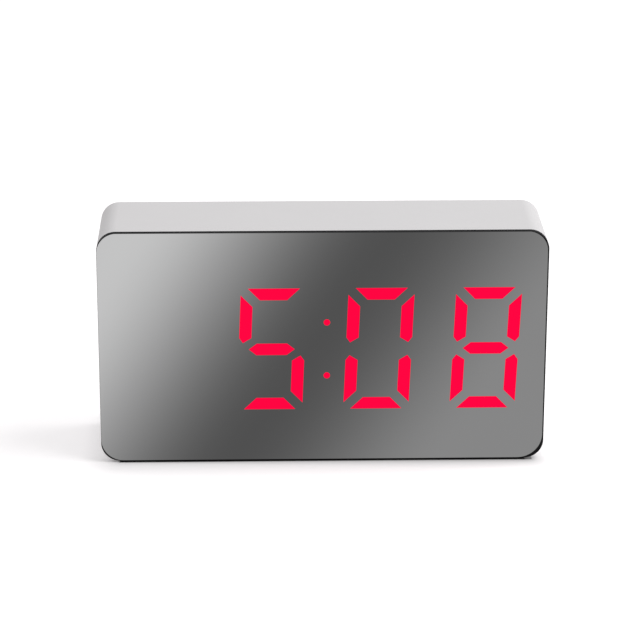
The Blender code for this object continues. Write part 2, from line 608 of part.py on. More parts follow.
def make_electronics():
    """Controller, crystal and capacitor on the back of the display board."""
    seat = BOARD_BACK + SEAT_GAP
    chip = plate("controller_chip", "chip_black", at(CHIP_X, seat, BAY_MIDDLE),
                 rectangle(CHIP_LENGTH, CHIP_WIDTH), CHIP_HEIGHT)
    legs = bmesh.new()
    leg = rectangle(CHIP_LEG_WIDTH, CHIP_LEG_SPAN)
    for index in range(CHIP_LEG_COUNT):
        x = (index - (CHIP_LEG_COUNT - 1) / 2) * CHIP_LEG_PITCH
        add_loft(legs, [(0.0, leg), (CHIP_LEG_WIDTH, leg)], (x, 0.0))
    add(chip, new_object("chip_legs_tool", "nickel", legs, at(CHIP_X, seat + CHIP_LEG_WIDTH, BAY_MIDDLE)))
    can = circle(CRYSTAL_DIAMETER, SMALL_STEPS)
    end = circle(CRYSTAL_DIAMETER - 2 * CRYSTAL_EDGE, SMALL_STEPS)
    place = at(CRYSTAL_X, seat + CRYSTAL_DIAMETER / 2, KEY_ROW - CRYSTAL_BELOW_KEYS)
    lofted("clock_crystal", "nickel", place, [(0.0, end), (CRYSTAL_EDGE, can), (CRYSTAL_LENGTH, can)],
           (0.0, 0.0, math.pi / 2))
    body = circle(CAPACITOR_DIAMETER)
    groove = circle(CAPACITOR_DIAMETER - 2 * CAPACITOR_EDGE)
    lofted("smoothing_capacitor", "sleeve_blue", at(CAPACITOR_X, seat, BAY_MIDDLE),
           [(0.0, groove), (CAPACITOR_EDGE, body), (CAPACITOR_GROOVE - CAPACITOR_EDGE, body),
            (CAPACITOR_GROOVE, groove), (CAPACITOR_GROOVE + CAPACITOR_EDGE, body),
            (CAPACITOR_HEIGHT - CAPACITOR_EDGE, body), (CAPACITOR_HEIGHT, groove)])


def make_rear_cover():
    """Cover plate with the battery bay, the keys' posts and the sounder's ring moulded on."""
    inset = WALL + FIT_GAP
    outline = rounded_rectangle(CASE_WIDTH - 2 * inset, CASE_HEIGHT - 2 * inset, CORNER_RADIUS - inset)
    cover = plate("rear_cover", "case_white", at(0, COVER_FRONT, CASE_MIDDLE), outline, COVER_THICKNESS)
    box = rectangle(BAY_WIDTH + 2 * BAY_WALL, BAY_HEIGHT + 2 * BAY_WALL)
    add(cover, plate("bay_box_tool", "case_white", at(0, BAY_FLOOR_FRONT, BAY_MIDDLE), box,
                     COVER_FRONT + ROOT - BAY_FLOOR_FRONT))
    cut(cover, plate("bay_inside_tool", None, at(0, BAY_FLOOR_BACK, BAY_MIDDLE),
                     rectangle(BAY_WIDTH, BAY_HEIGHT), CASE_DEPTH - BAY_FLOOR_BACK + OVERSHOOT))
    cut(cover, plate("door_rebate_tool", None, at(0, DOOR_FRONT - SEAT_GAP, BAY_MIDDLE),
                     rectangle(DOOR_WIDTH + 2 * FIT_GAP, DOOR_HEIGHT + 2 * FIT_GAP),
                     DOOR_THICKNESS + SEAT_GAP + OVERSHOOT))
    scoop = rounded_rectangle(SCOOP_WIDTH, 2 * SCOOP_HEIGHT, SCOOP_CORNER)
    cut(cover, plate("finger_scoop_tool", None, at(0, CASE_DEPTH - SCOOP_DEPTH, BAY_MIDDLE + DOOR_HEIGHT / 2),
                     scoop, SCOOP_DEPTH + OVERSHOOT))
    pin_room = DOOR_WIDTH + 2 * HINGE_PIN_LENGTH + 4 * FIT_GAP
    cut(cover, plate("hinge_hole_tool", None, at(pin_room / 2, HINGE_DEPTH, HINGE_HEIGHT),
                     circle(HINGE_PIN_DIAMETER + 2 * SLIDE_GAP), pin_room, (0.0, 0.0, math.pi / 2)))

    strip = rounded_rectangle(2 * END_KEY_X + CAP_WIDTH + 2 * KEY_STRIP_SIDE_MARGIN,
                              CAP_HEIGHT + 2 * KEY_STRIP_END_MARGIN, KEY_STRIP_CORNER)
    cut(cover, plate("key_strip_tool", None, at(0, CASE_DEPTH - KEY_STRIP_DEPTH, KEY_ROW), strip,
                     KEY_STRIP_DEPTH + OVERSHOOT))
    cap_hole = rounded_rectangle(CAP_WIDTH + 2 * SLIDE_GAP, CAP_HEIGHT + 2 * SLIDE_GAP,
                                 CAP_RADIUS + SLIDE_GAP)
    cut(cover, many_plates("cap_holes_tool", None, at(0, COVER_FRONT - OVERSHOOT, KEY_ROW), cap_hole,
                           COVER_THICKNESS + 2 * OVERSHOOT, key_places()))
    usb_hole = rounded_rectangle(USB_WIDTH + 2 * USB_HOLE_MARGIN, USB_HEIGHT + 2 * USB_HOLE_MARGIN,
                                 USB_HOLE_MARGIN, SMALL_STEPS)
    cut(cover, plate("usb_hole_tool", None, at(USB_X, COVER_FRONT - OVERSHOOT, KEY_ROW), usb_hole,
                     COVER_THICKNESS + 2 * OVERSHOOT))

    posts = [(x, 0.0) for x in KEY_POST_XS]
    add(cover, many_plates("key_posts_tool", "case_white", at(0, KEY_BOARD_BACK + SEAT_GAP, KEY_ROW),
                           circle(KEY_POST_DIAMETER), COVER_FRONT + ROOT - KEY_BOARD_BACK - SEAT_GAP, posts))
    cut(cover, many_plates("key_post_holes_tool", None, at(0, KEY_BOARD_BACK, KEY_ROW),
                           circle(KEY_SCREW[2] + 2 * THREAD_GAP, SMALL_STEPS), KEY_SCREW[3], posts))

    head = CASE_SCREW[1] + SCREW_SINK + SEAT_GAP
    cut(cover, many_plates("screw_head_seats_tool", None, at(0, CASE_DEPTH - head, CASE_MIDDLE),
                           circle(CASE_SCREW[0] + 4 * FIT_GAP), head + OVERSHOOT,
                           corners(SCREW_X, SCREW_RISE)))
    cut(cover, many_plates("screw_ways_tool", None, at(0, COVER_FRONT - OVERSHOOT, CASE_MIDDLE),
                           circle(CASE_SCREW[2] + 2 * SCREW_HOLE_MARGIN, SMALL_STEPS),
                           COVER_THICKNESS + 2 * OVERSHOOT, corners(SCREW_X, SCREW_RISE)))
    add_sounder_seat(cover)
    add_contact_slots(cover)


def add_sounder_seat(cover):
    """Ring with an inner ledge for the sounder disc, and the sound holes behind it."""
    disc_room = SOUNDER_DIAMETER + 2 * SLIDE_GAP
    start = COVER_FRONT - SOUNDER_RING_HEIGHT
    add(cover, plate("sounder_ring_tool", "case_white", at(SOUNDER_X, start, SOUNDER_Z),
                     circle(disc_room + 2 * SOUNDER_RING_WALL), SOUNDER_RING_HEIGHT + ROOT))
    cut(cover, plate("sounder_seat_tool", None, at(SOUNDER_X, start - OVERSHOOT, SOUNDER_Z),
                     circle(disc_room), SOUNDER_RING_HEIGHT + OVERSHOOT - SOUNDER_STANDOFF))
    cut(cover, plate("sounder_chamber_tool", None, at(SOUNDER_X, start, SOUNDER_Z),
                     circle(SOUNDER_DIAMETER - 2 * SOUNDER_LEDGE), SOUNDER_RING_HEIGHT + SEAT_GAP))
    holes = [(0.0, 0.0)]
    for ring_index in range(1, SOUND_HOLE_RINGS + 1):
        for index in range(6 * ring_index):
            angle = 2 * math.pi * index / (6 * ring_index)
            radius = ring_index * SOUND_HOLE_PITCH
            holes.append((radius * math.cos(angle), radius * math.sin(angle)))
    cut(cover, many_plates("sound_holes_tool", None, at(SOUNDER_X, COVER_FRONT - OVERSHOOT / 2, SOUNDER_Z),
                           circle(SOUND_HOLE_DIAMETER, SMALL_STEPS), COVER_THICKNESS + OVERSHOOT, holes))


def contact_x(side):
    """Outer face of a contact plate, next to the bay's end wall."""
    return side * (BAY_WIDTH / 2 - FIT_GAP)


def contact_places():
    """Each contact plate: name, bay end, lowest and highest cell row, and its solder tab's row."""
    last = CELL_COUNT - 1
    return [("positive_contact", -1, last, last, last), ("negative_contact", 1, 0, 0, 0),
            ("left_link_contact", -1, 0, last - 1, None), ("right_link_contact", 1, 1, last, None)]


def add_contact_slots(cover):
    """Slots in the bay's floor for the two solder tabs."""
    rows = bay_cell_rows()
    slot = rectangle(CONTACT_SHEET + 2 * FIT_GAP, CONTACT_TAB_WIDTH + 2 * FIT_GAP)
    for name, side, _, _, tab_row in contact_places():
        if tab_row is not None:
            x = contact_x(side) - side * CONTACT_SHEET / 2
            cut(cover, plate(name + "_slot_tool", None, at(x, BAY_FLOOR_FRONT - OVERSHOOT, rows[tab_row][0]),
                             slot, BAY_FLOOR + 2 * OVERSHOOT))


def make_contacts():
    """Sheet contacts at the bay's ends; a plate that serves two cells links them in series."""
    rows = bay_cell_rows()
    low_edge = SEAT_GAP
    width = CELL_DIAMETER - 2 * CONTACT_INSET
    for name, side, first, last, tab_row in contact_places():
        bottom = rows[first][0] - width / 2
        height = rows[last][0] - rows[first][0] + width
        sheet = rectangle(CONTACT_SHEET, height)
        x = contact_x(side) - side * CONTACT_SHEET / 2
        start = BAY_FLOOR_BACK + low_edge
        made = plate(name, "nickel", at(x, start, bottom + height / 2), sheet, width)
        if tab_row is not None:
            reach = BAY_FLOOR + CONTACT_TAB_REACH + low_edge
            tab = rectangle(CONTACT_SHEET - CONTACT_TAB_THINNING, CONTACT_TAB_WIDTH)
            add(made, plate(name + "_tab_tool", "nickel", at(x, start - reach, rows[tab_row][0]), tab,
                            reach + OVERSHOOT))


def make_cells():
    """Three cells, each turned the other way from its neighbour, with a jacket edge at both ends."""
    jacket = circle(CELL_DIAMETER)
    edge = circle(CELL_DIAMETER - 2 * CELL_EDGE)
    shoulder = circle(CELL_DIAMETER - 2 * CELL_SHOULDER)
    nub = circle(CELL_NUB_DIAMETER)
    body = CELL_LENGTH - CELL_NUB_LENGTH
    lip = body - CELL_LIP
    layers = [(0.0, edge), (CELL_EDGE, jacket), (lip - CELL_EDGE, jacket), (lip, edge),
              (lip, shoulder), (body, nub), (CELL_LENGTH, nub)]
    for index, (height, way) in enumerate(bay_cell_rows()):
        start = -way * (BAY_WIDTH / 2 - SPRING_ROOM)
        lofted("battery_cell_%d" % (index + 1), "cell_jacket", at(start, CELL_AXIS, height), layers,
               (0.0, 0.0, -way * math.pi / 2))


def add_tube(mesh, points, diameter, sides=6):
    """A closed tube of equal rings square to a path, with its frame carried along the path."""
    path = [Vector(point) for point in points]
    previous = None
    rings = []
    for index, centre in enumerate(path):
        before = path[max(index - 1, 0)]
        after = path[min(index + 1, len(path) - 1)]
        tangent = (after - before).normalized()
        if previous is None:
            previous = tangent.orthogonal().normalized()
        across = (previous - tangent * previous.dot(tangent)).normalized()
        previous = across
        up = tangent.cross(across)
        ring = []
        for side in range(sides):
            angle = 2 * math.pi * side / sides
            spoke = across * math.cos(angle) + up * math.sin(angle)
            ring.append(mesh.verts.new(centre + spoke * diameter / 2))
        rings.append(ring)
    mesh.faces.new(rings[0])
    mesh.faces.new(list(reversed(rings[-1])))
    for near, far in zip(rings, rings[1:]):
        for side in range(sides):
            after = (side + 1) % sides
            mesh.faces.new((near[side], far[side], far[after], near[after]))


def make_springs():
    """Conical coils between the negative ends of the cells and their contacts."""
    room = SPRING_ROOM - FIT_GAP - CONTACT_SHEET - 2 * SEAT_GAP - SPRING_WIRE
    steps = SPRING_STEPS
    for index, (height, way) in enumerate(bay_cell_rows()):
        points = []
        for step in range(steps + 1):
            share = step / steps
            angle = 2 * math.pi * SPRING_TURNS * share
            radius = SPRING_BASE_RADIUS + (SPRING_TIP_RADIUS - SPRING_BASE_RADIUS) * share
            points.append((way * room * share, radius * math.cos(angle), radius * math.sin(angle)))
        mesh = bmesh.new()
        add_tube(mesh, points, SPRING_WIRE, 5)
        start = -way * (BAY_WIDTH / 2 - FIT_GAP - CONTACT_SHEET - SEAT_GAP - SPRING_WIRE / 2)
        new_object("battery_spring_%d" % (index + 1), "steel", mesh, at(start, CELL_AXIS, height))


def make_door():
    """Battery door on two stub pins, its lower edge round about the pins' axis."""
    radius = DOOR_THICKNESS / 2
    rise = DOOR_HEIGHT - radius
    profile = [(rise, -radius), (rise, radius)]
    for step in range(2 * EDGE_STEPS + 1):
        angle = math.pi / 2 + math.pi * step / (2 * EDGE_STEPS)
        profile.append((radius * math.cos(angle), radius * math.sin(angle)))
    outline = [(depth, height) for height, depth in profile]
    turn = (0.0, 0.0, math.pi / 2)
    mesh = bmesh.new()
    add_loft(mesh, [(-DOOR_WIDTH / 2, outline), (DOOR_WIDTH / 2, outline)])
    door = new_object("battery_door", "case_white", mesh, at(0, HINGE_DEPTH, HINGE_HEIGHT), turn)
    pin = DOOR_WIDTH + 2 * HINGE_PIN_LENGTH
    add(door, plate("hinge_pins_tool", "case_white", at(pin / 2, HINGE_DEPTH, HINGE_HEIGHT),
                    circle(HINGE_PIN_DIAMETER, SMALL_STEPS), pin, turn))
    top = BAY_MIDDLE + DOOR_HEIGHT / 2
    add(door, plate("door_tab_tool", "case_white", at(0, CASE_DEPTH - SCOOP_DEPTH + SLIDE_GAP, top),
                    rounded_rectangle(DOOR_TAB_WIDTH, 2 * DOOR_TAB_HEIGHT, DOOR_TAB_CORNER),
                    DOOR_TAB_THICKNESS))
    grips = [(0.0, -(index + 2) * GRIP_PITCH) for index in range(GRIP_COUNT)]
    cut(door, many_plates("door_grips_tool", None, at(0, CASE_DEPTH - GRIP_DEPTH, top),
                          rectangle(GRIP_WIDTH, GRIP_PITCH / 2), GRIP_DEPTH + OVERSHOOT, grips))


def make_keys():
    """Key board, its switches with their plungers, and the caps that show at the back."""
    middle = (KEY_BOARD_LEFT + KEY_BOARD_RIGHT) / 2
    board = plate("key_board", "board_green", at(middle, KEY_BOARD_FRONT, KEY_ROW),
                  rectangle(KEY_BOARD_RIGHT - KEY_BOARD_LEFT, KEY_BOARD_HEIGHT), KEY_BOARD_THICKNESS)
    cut(board, many_plates("key_board_holes_tool", None, at(0, KEY_BOARD_FRONT - OVERSHOOT, KEY_ROW),
                           circle(KEY_SCREW[2] + 2 * SCREW_HOLE_MARGIN, SMALL_STEPS),
                           KEY_BOARD_THICKNESS + 2 * OVERSHOOT, [(x, 0.0) for x in KEY_POST_XS]))
    for index, x in enumerate(KEY_POST_XS):
        screw("key_board_screw_%d" % (index + 1), KEY_SCREW, at(x, KEY_BOARD_FRONT - SEAT_GAP, KEY_ROW), -1)

    stem_front = PLUNGER_BACK + SEAT_GAP
    stem = circle(CAP_STEM_DIAMETER)
    flange = rounded_rectangle(CAP_WIDTH + 2 * CAP_FLANGE, CAP_HEIGHT + 2 * CAP_FLANGE,
                               CAP_RADIUS + CAP_FLANGE)
    layers = [(stem_front, stem), (CAP_FLANGE_FRONT, stem), (CAP_FLANGE_FRONT, flange),
              (CAP_FLANGE_BACK, flange),
              (CAP_FLANGE_BACK, rounded_rectangle(CAP_WIDTH, CAP_HEIGHT, CAP_RADIUS))]
    layers += soft_end(CAP_WIDTH, CAP_HEIGHT, CAP_RADIUS, CAP_EDGE, CASE_DEPTH + BUTTON_PROUD)
    layers = [(depth - CAP_FLANGE_BACK, outline) for depth, outline in layers]
    names = ("down", "up", "alarm", "mode")
    for name, (x, _) in zip(names, key_places()):
        lofted(name + "_button", "button_grey", at(x, CAP_FLANGE_BACK, KEY_ROW), layers)
        plate(name + "_plunger", "chip_black", at(x, SWITCH_BACK - PLUNGER_SUNK, KEY_ROW),
              circle(PLUNGER_DIAMETER), PLUNGER_RISE + PLUNGER_SUNK)
        body = plate(name + "_switch", "steel", at(x, SWITCH_FRONT, KEY_ROW),
                     rounded_rectangle(SWITCH_SIZE, SWITCH_SIZE, SWITCH_CORNER, SMALL_STEPS), SWITCH_BODY)
        sunk = PLUNGER_SUNK + KEY_TRAVEL + SLIDE_GAP
        cut(body, plate(name + "_switch_bore_tool", None, at(x, SWITCH_BACK - sunk, KEY_ROW),
                        circle(PLUNGER_DIAMETER + 2 * SEAT_GAP), sunk + OVERSHOOT))


def make_usb_socket():
    """Power socket: a sheet shell open to the back, with its contact tongue inside."""
    front = KEY_BOARD_BACK + SEAT_GAP
    length = CASE_DEPTH - USB_SINK - front
    mouth = [(0.5, 0.5), (-0.5, 0.5), (-0.5, -0.1), (-0.36, -0.5), (0.36, -0.5), (0.5, -0.1)]
    outer = [(x * USB_WIDTH, z * USB_HEIGHT) for x, z in mouth]
    inner = [(x * (USB_WIDTH - 2 * USB_SHEET), z * (USB_HEIGHT - 2 * USB_SHEET)) for x, z in mouth]
    shell = plate("usb_socket", "steel", at(USB_X, front, KEY_ROW), outer, length)
    cut(shell, plate("usb_mouth_tool", None, at(USB_X, front + USB_FLOOR, KEY_ROW), inner, length))
    plate("usb_tongue", "chip_black", at(USB_X, front + USB_FLOOR + SEAT_GAP, KEY_ROW + USB_TONGUE_RISE),
          rectangle(USB_TONGUE_WIDTH, USB_TONGUE_THICKNESS), length - USB_FLOOR - SEAT_GAP - USB_TONGUE_SINK)


def make_sounder():
    """Brass disc on the ring's ledge, with the ceramic disc on its front."""
    disc_back = COVER_FRONT - SOUNDER_STANDOFF - SEAT_GAP
    disc_front = disc_back - SOUNDER_SHEET
    plate("sounder_disc", "brass", at(SOUNDER_X, disc_front, SOUNDER_Z), circle(SOUNDER_DIAMETER),
          SOUNDER_SHEET)
    plate("sounder_ceramic", "ceramic_white", at(SOUNDER_X, disc_front - BOND_GAP - SOUNDER_SHEET, SOUNDER_Z),
          circle(CERAMIC_DIAMETER), SOUNDER_SHEET)


def smooth_path(points, steps=4):
    """A Catmull-Rom curve through the inner points, with a straight run at each end."""
    path = [Vector(point) for point in points]
    curve = [path[0]]
    for index in range(1, len(path) - 2):
        a, b, c, d = path[index - 1:index + 3]
        for step in range(steps):
            t = step / steps
            curve.append(0.5 * (2 * b + (c - a) * t + (2 * a - 5 * b + 4 * c - d) * t ** 2
                                + (3 * b - a - 3 * c + d) * t ** 3))
    return curve + path[-2:]


def make_wires():
    """Battery leads, the sounder's leads and the ribbon between the two boards."""
    rows = bay_cell_rows()
    tab_front = BAY_FLOOR_FRONT - CONTACT_TAB_REACH - WIRE_GAP
    board = BOARD_BACK + WIRE_GAP
    disc_front = COVER_FRONT - SOUNDER_STANDOFF - SEAT_GAP - SOUNDER_SHEET - WIRE_GAP
    ceramic_front = disc_front - BOND_GAP - SOUNDER_SHEET
    key_front = KEY_BOARD_FRONT - WIRE_GAP
    far_x = BAY_WIDTH / 2 + LEAD_PAD_OFFSET
    pad_x = KEY_BOARD_RIGHT - KEY_PAD_INSET
    stub = WIRE_STUB
    left_tab = contact_x(-1) + CONTACT_SHEET / 2
    right_tab = contact_x(1) - CONTACT_SHEET / 2
    red_row = rows[-1][0]
    black_row = rows[0][0]
    runs = {
        "battery_lead_red": ("wire_red", [
            at(left_tab, tab_front, red_row), at(left_tab, tab_front - stub / 2, red_row),
            at(-far_x, board + stub, red_row + 1.0 * MM), at(-far_x, board, red_row + 1.0 * MM)]),
        "battery_lead_black": ("wire_black", [
            at(right_tab, tab_front, black_row), at(right_tab, tab_front - stub / 2, black_row),
            at(far_x, board + stub, black_row + 1.0 * MM), at(far_x, board, black_row + 1.0 * MM)]),
        "sounder_lead_red": ("wire_red", [
            at(SOUNDER_X - 2.0 * MM, ceramic_front, SOUNDER_Z + 3.0 * MM),
            at(SOUNDER_X - 2.0 * MM, ceramic_front - stub, SOUNDER_Z + 3.0 * MM),
            at(SOUNDER_X - 4.0 * MM, key_front - 3.0 * MM, SOUNDER_Z + 15.0 * MM),
            at(pad_x, key_front - stub, KEY_ROW - 3.0 * MM), at(pad_x, key_front, KEY_ROW - 3.0 * MM)]),
        "sounder_lead_black": ("wire_black", [
            at(SOUNDER_X + 8.2 * MM, disc_front, SOUNDER_Z + 1.0 * MM),
            at(SOUNDER_X + 8.2 * MM, disc_front - stub, SOUNDER_Z + 1.0 * MM),
            at(SOUNDER_X + 1.0 * MM, key_front - 3.0 * MM, SOUNDER_Z + 17.0 * MM),
            at(pad_x, key_front - stub, KEY_ROW + 3.0 * MM), at(pad_x, key_front, KEY_ROW + 3.0 * MM)]),
    }
    for name, (colour, points) in runs.items():
        mesh = bmesh.new()
        add_tube(mesh, smooth_path(points), WIRE_DIAMETER)
        new_object(name, colour, mesh, (0.0, 0.0, 0.0))

    start = at(0, board, 0)[1]
    end = at(0, key_front, 0)[1]
    near = []
    far = []
    for step in range(RIBBON_STEPS + 1):
        share = step / RIBBON_STEPS
        bow = RIBBON_BOW * math.sin(math.pi * share)
        y = start + (end - start) * share
        near.append((y, KEY_ROW - RIBBON_DROP - bow))
        far.append((y, KEY_ROW - RIBBON_DROP - bow - RIBBON_THICKNESS))
    outline = near + list(reversed(far))
    mesh = bmesh.new()
    add_loft(mesh, [(-RIBBON_WIDTH / 2, outline), (RIBBON_WIDTH / 2, outline)])
    new_object("ribbon_cable", "ribbon_grey", mesh, (0.0, 0.0, 0.0), (0.0, 0.0, math.pi / 2))


def make_case_screws():
    for index, (x, rise) in enumerate(corners(SCREW_X, SCREW_RISE)):
        depth = CASE_DEPTH - SCREW_SINK - CASE_SCREW[1]
        screw("case_screw_%d" % (index + 1), CASE_SCREW, at(x, depth, CASE_MIDDLE + rise))


def main():
    clear_scene()
    make_case()
    make_feet()
    make_front()
    make_display_board()
    make_electronics()
    make_rear_cover()
    make_contacts()
    make_cells()
    make_springs()
    make_door()
    make_keys()
    make_usb_socket()
    make_sounder()
    make_wires()
    make_case_screws()


main()
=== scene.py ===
"""Looks of a small mirror-faced desk alarm clock with red seven-segment digits, on a white table.

Metres, +Z up, the mirror faces -Y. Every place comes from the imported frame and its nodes' boxes.
"""

import json
import math

import bmesh
import bpy
import numpy as np
from bpy.props import BoolProperty, FloatProperty, FloatVectorProperty, IntProperty, PointerProperty
from mathutils import Matrix, Vector

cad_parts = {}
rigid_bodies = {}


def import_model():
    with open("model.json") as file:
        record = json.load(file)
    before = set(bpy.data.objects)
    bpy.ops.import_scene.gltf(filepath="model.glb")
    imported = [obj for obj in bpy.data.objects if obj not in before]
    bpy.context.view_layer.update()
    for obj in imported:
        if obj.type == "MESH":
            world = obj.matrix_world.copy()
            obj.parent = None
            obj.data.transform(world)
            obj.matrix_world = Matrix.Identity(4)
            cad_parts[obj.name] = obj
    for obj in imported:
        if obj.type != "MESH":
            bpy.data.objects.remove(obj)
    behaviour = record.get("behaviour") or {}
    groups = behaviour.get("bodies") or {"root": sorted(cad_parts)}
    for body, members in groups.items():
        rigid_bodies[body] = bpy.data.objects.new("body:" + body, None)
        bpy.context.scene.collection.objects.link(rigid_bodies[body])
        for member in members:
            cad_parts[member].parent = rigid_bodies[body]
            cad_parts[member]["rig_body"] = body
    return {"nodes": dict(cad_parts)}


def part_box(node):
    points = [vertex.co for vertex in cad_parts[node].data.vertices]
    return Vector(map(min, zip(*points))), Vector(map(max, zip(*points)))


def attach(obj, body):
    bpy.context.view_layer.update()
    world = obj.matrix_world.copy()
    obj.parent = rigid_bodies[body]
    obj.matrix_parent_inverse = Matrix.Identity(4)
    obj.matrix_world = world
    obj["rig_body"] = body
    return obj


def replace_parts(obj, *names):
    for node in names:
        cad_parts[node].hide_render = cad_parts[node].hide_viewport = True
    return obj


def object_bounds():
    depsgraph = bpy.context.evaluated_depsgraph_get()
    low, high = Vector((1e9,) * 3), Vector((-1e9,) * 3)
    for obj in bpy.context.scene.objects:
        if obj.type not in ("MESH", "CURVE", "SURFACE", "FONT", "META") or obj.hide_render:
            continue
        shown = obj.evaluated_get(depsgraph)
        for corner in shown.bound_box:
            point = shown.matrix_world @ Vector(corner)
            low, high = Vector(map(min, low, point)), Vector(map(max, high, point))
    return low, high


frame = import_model()
CAD_LOW, CAD_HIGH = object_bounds()

bl_info = {
    "name": "Mirror Alarm Clock",
    "version": (1, 0, 0),
    "blender": (4, 5, 0),
    "location": "View3D > Sidebar > Alarm Clock",
    "description": "Builds the looks of a mirror alarm clock round its fixed parts",
    "category": "Object",
}

MM = 0.001
MERGE_DISTANCE = 1e-7
FLAT_WITHIN_DEGREES = 1.0
POLE = (1e-9, 1e-9, 1e-10)

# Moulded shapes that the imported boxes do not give
WALL = 2.4 * MM
FLANGE = 1.5 * MM
WINDOW = (53.0 * MM, 19.1 * MM, 0.3 * MM)
WINDOW_MIDDLE = 30.9 * MM
COLUMN_HALF = 3.1 * MM
CORNER = 4.9 * MM
KEY_ROUND = 2.4 * MM
KEY_FLANGE = 0.8 * MM
KEY_STEM = 1.5 * MM
KEY_STEM_LENGTH = 0.3 * MM
KEY_EDGE = 0.5 * MM
CAP_HALF_WIDTH = 4.5 * MM
CAP_HALF_HEIGHT = 2.5 * MM
COLUMN_CORNER = 0.5 * MM
COLUMN_EDGE = 0.1 * MM
DISC_EDGE = 0.05 * MM
FOOT_EDGE = 0.3 * MM
LAMP_HEIGHT = 0.68 * MM
CABLE_PITCH = 1.27 * MM

# Screws: head height and shaft radius by the start of their name, and the cross recess
CASE_SCREW = (1.1 * MM, 0.95 * MM)
BOARD_SCREW = (1.1 * MM, 0.8 * MM)
KEY_BOARD_SCREW = (1.0 * MM, 0.7 * MM)
HEAD_RINGS = 22
CROSS_HALF_WIDTH = 0.3 * MM
CROSS_DEPTH = 0.6 * MM
CROSS_SHORT = 0.8 * MM
CROSS_SOFT = 0.16 * MM
CROSS_SHALLOW = 0.45
HEAD_DOME = 0.12 * MM

# Battery cells and their springs
CELL_BUTTON = 1.0 * MM
CELL_BUTTON_RADIUS = 1.9 * MM
CELL_LIP = 0.35 * MM
CELL_RING = 1.1 * MM
BAND_START = 0.66
BAND_END = 0.90
SPRING_WIRE = 0.3 * MM
SPRING_WIDE = 3.7 * MM
SPRING_NARROW = 2.2 * MM
SPRING_TURNS = 2.75

# The table, with its glow faded out round the clock as a painted shadow, the room's lamp, and the film's own
# light
TABLE_HALF = 3.0
GLOW_SHADOW_CURVE = 0.5
SOFTBOX_SIZE = 0.9
SOFTBOX_AIM = (0.0, 0.0, 0.03)
SENSOR_WIDTH = 36.0
WARM_WHITE = (1.0, 0.985, 0.992, 1.0)
ROOM_WHITE = (1.0, 0.992, 0.996, 1.0)
FILM_LIGHT = 1.02

# Seven-segment digits, as the wells of the reflector
DIGIT_PITCH = 27.5 * MM
DIGIT_HALF_WIDTH = 8.45 * MM
DIGIT_HALF_HEIGHT = 16.5 * MM
STROKE = 3.15 * MM
MITRE = 1.8 * MM
SHOULDER = 3.1 * MM
TIP_HEIGHT = 1.75 * MM
TIP_INSET = 1.0 * MM
BAR_TIP_INSET = 2.55 * MM
BAR_TIP_LENGTH = 2.0 * MM
SLANT = math.tan(math.radians(2.15))
COLON_X = 1.0 * MM
DISPLAY_X = 0.6 * MM
COLON_RISE = 7.25 * MM
COLON_RADIUS = 0.85 * MM

SEGMENTS = ("top", "bottom", "middle", "upper_left", "lower_left", "upper_right", "lower_right")
LIT_IN_DIGIT = {
    0: ("top", "bottom", "upper_left", "lower_left", "upper_right", "lower_right"),
    1: ("upper_right", "lower_right"),
    2: ("top", "upper_right", "middle", "lower_left", "bottom"),
    3: ("top", "upper_right", "middle", "lower_right", "bottom"),
    4: ("upper_left", "middle", "upper_right", "lower_right"),
    5: ("top", "upper_left", "middle", "lower_right", "bottom"),
    6: ("top", "upper_left", "middle", "lower_left", "lower_right", "bottom"),
    7: ("top", "upper_right", "lower_right"),
    8: SEGMENTS,
    9: ("top", "upper_left", "middle", "upper_right", "lower_right", "bottom"),
}


# ---------------------------------------------------------------- sizes and colours

class CaseLooks(bpy.types.PropertyGroup):
    shell_colour: FloatVectorProperty(
        name="Shell colour", description="Colour of the moulded case", subtype="COLOR",
        default=(0.635, 0.625, 0.63), min=0.0, max=1.0)
    # The black band on the case's front rim is painted shade of the gap round the mirror.
    gap_shade_band: FloatProperty(
        name="Rim band", description="Width of the black line round the case's front rim", unit="LENGTH",
        subtype="DISTANCE", default=0.3 * MM, min=0.0, max=3.0 * MM)
    rear_edge: FloatProperty(
        name="Rear edge", description="Rounding of the case's rear edge", unit="LENGTH",
        subtype="DISTANCE", default=1.2 * MM, min=0.2 * MM, max=2.0 * MM)
    front_edge: FloatProperty(
        name="Front edge", description="Rounding of the rim behind the mirror", unit="LENGTH",
        subtype="DISTANCE", default=0.1 * MM, min=0.05 * MM, max=0.6 * MM)
    grain_size: FloatProperty(
        name="Grain size", description="Pitch of the spark-eroded texture", unit="LENGTH",
        subtype="DISTANCE", default=0.4 * MM, min=0.05 * MM, max=2.0 * MM)
    grain_depth: FloatProperty(
        name="Grain depth", description="Depth of the spark-eroded texture", unit="LENGTH",
        subtype="DISTANCE", default=0.004 * MM, min=0.0, max=0.1 * MM)


class MirrorLooks(bpy.types.PropertyGroup):
    mirror_colour: FloatVectorProperty(
        name="Mirror colour", description="Share of light that the half-mirror returns",
        subtype="COLOR", default=(0.62, 0.62, 0.622), min=0.0, max=1.0)
    borders: FloatVectorProperty(
        name="Black borders", description="Border left, right, below and above the mirror coat",
        size=4, unit="LENGTH", default=(0.07 * MM, 0.36 * MM, 0.1 * MM, 0.02 * MM))
    coat_corners: FloatVectorProperty(
        name="Coat corners", description="Corner radii of the coat, anticlockwise from upper right",
        size=4, unit="LENGTH", default=(5.2 * MM, 5.2 * MM, 5.7 * MM, 6.4 * MM))
    tape_inset: FloatProperty(
        name="Tape inset", description="How far the tape stays inside the panel's outline", unit="LENGTH",
        subtype="DISTANCE", default=0.08 * MM, min=0.0, max=1.0 * MM)
    edge: FloatProperty(
        name="Edge rounding", description="Polished rounding of the panel's edges", unit="LENGTH",
        subtype="DISTANCE", default=0.06 * MM, min=0.02 * MM, max=0.4 * MM)


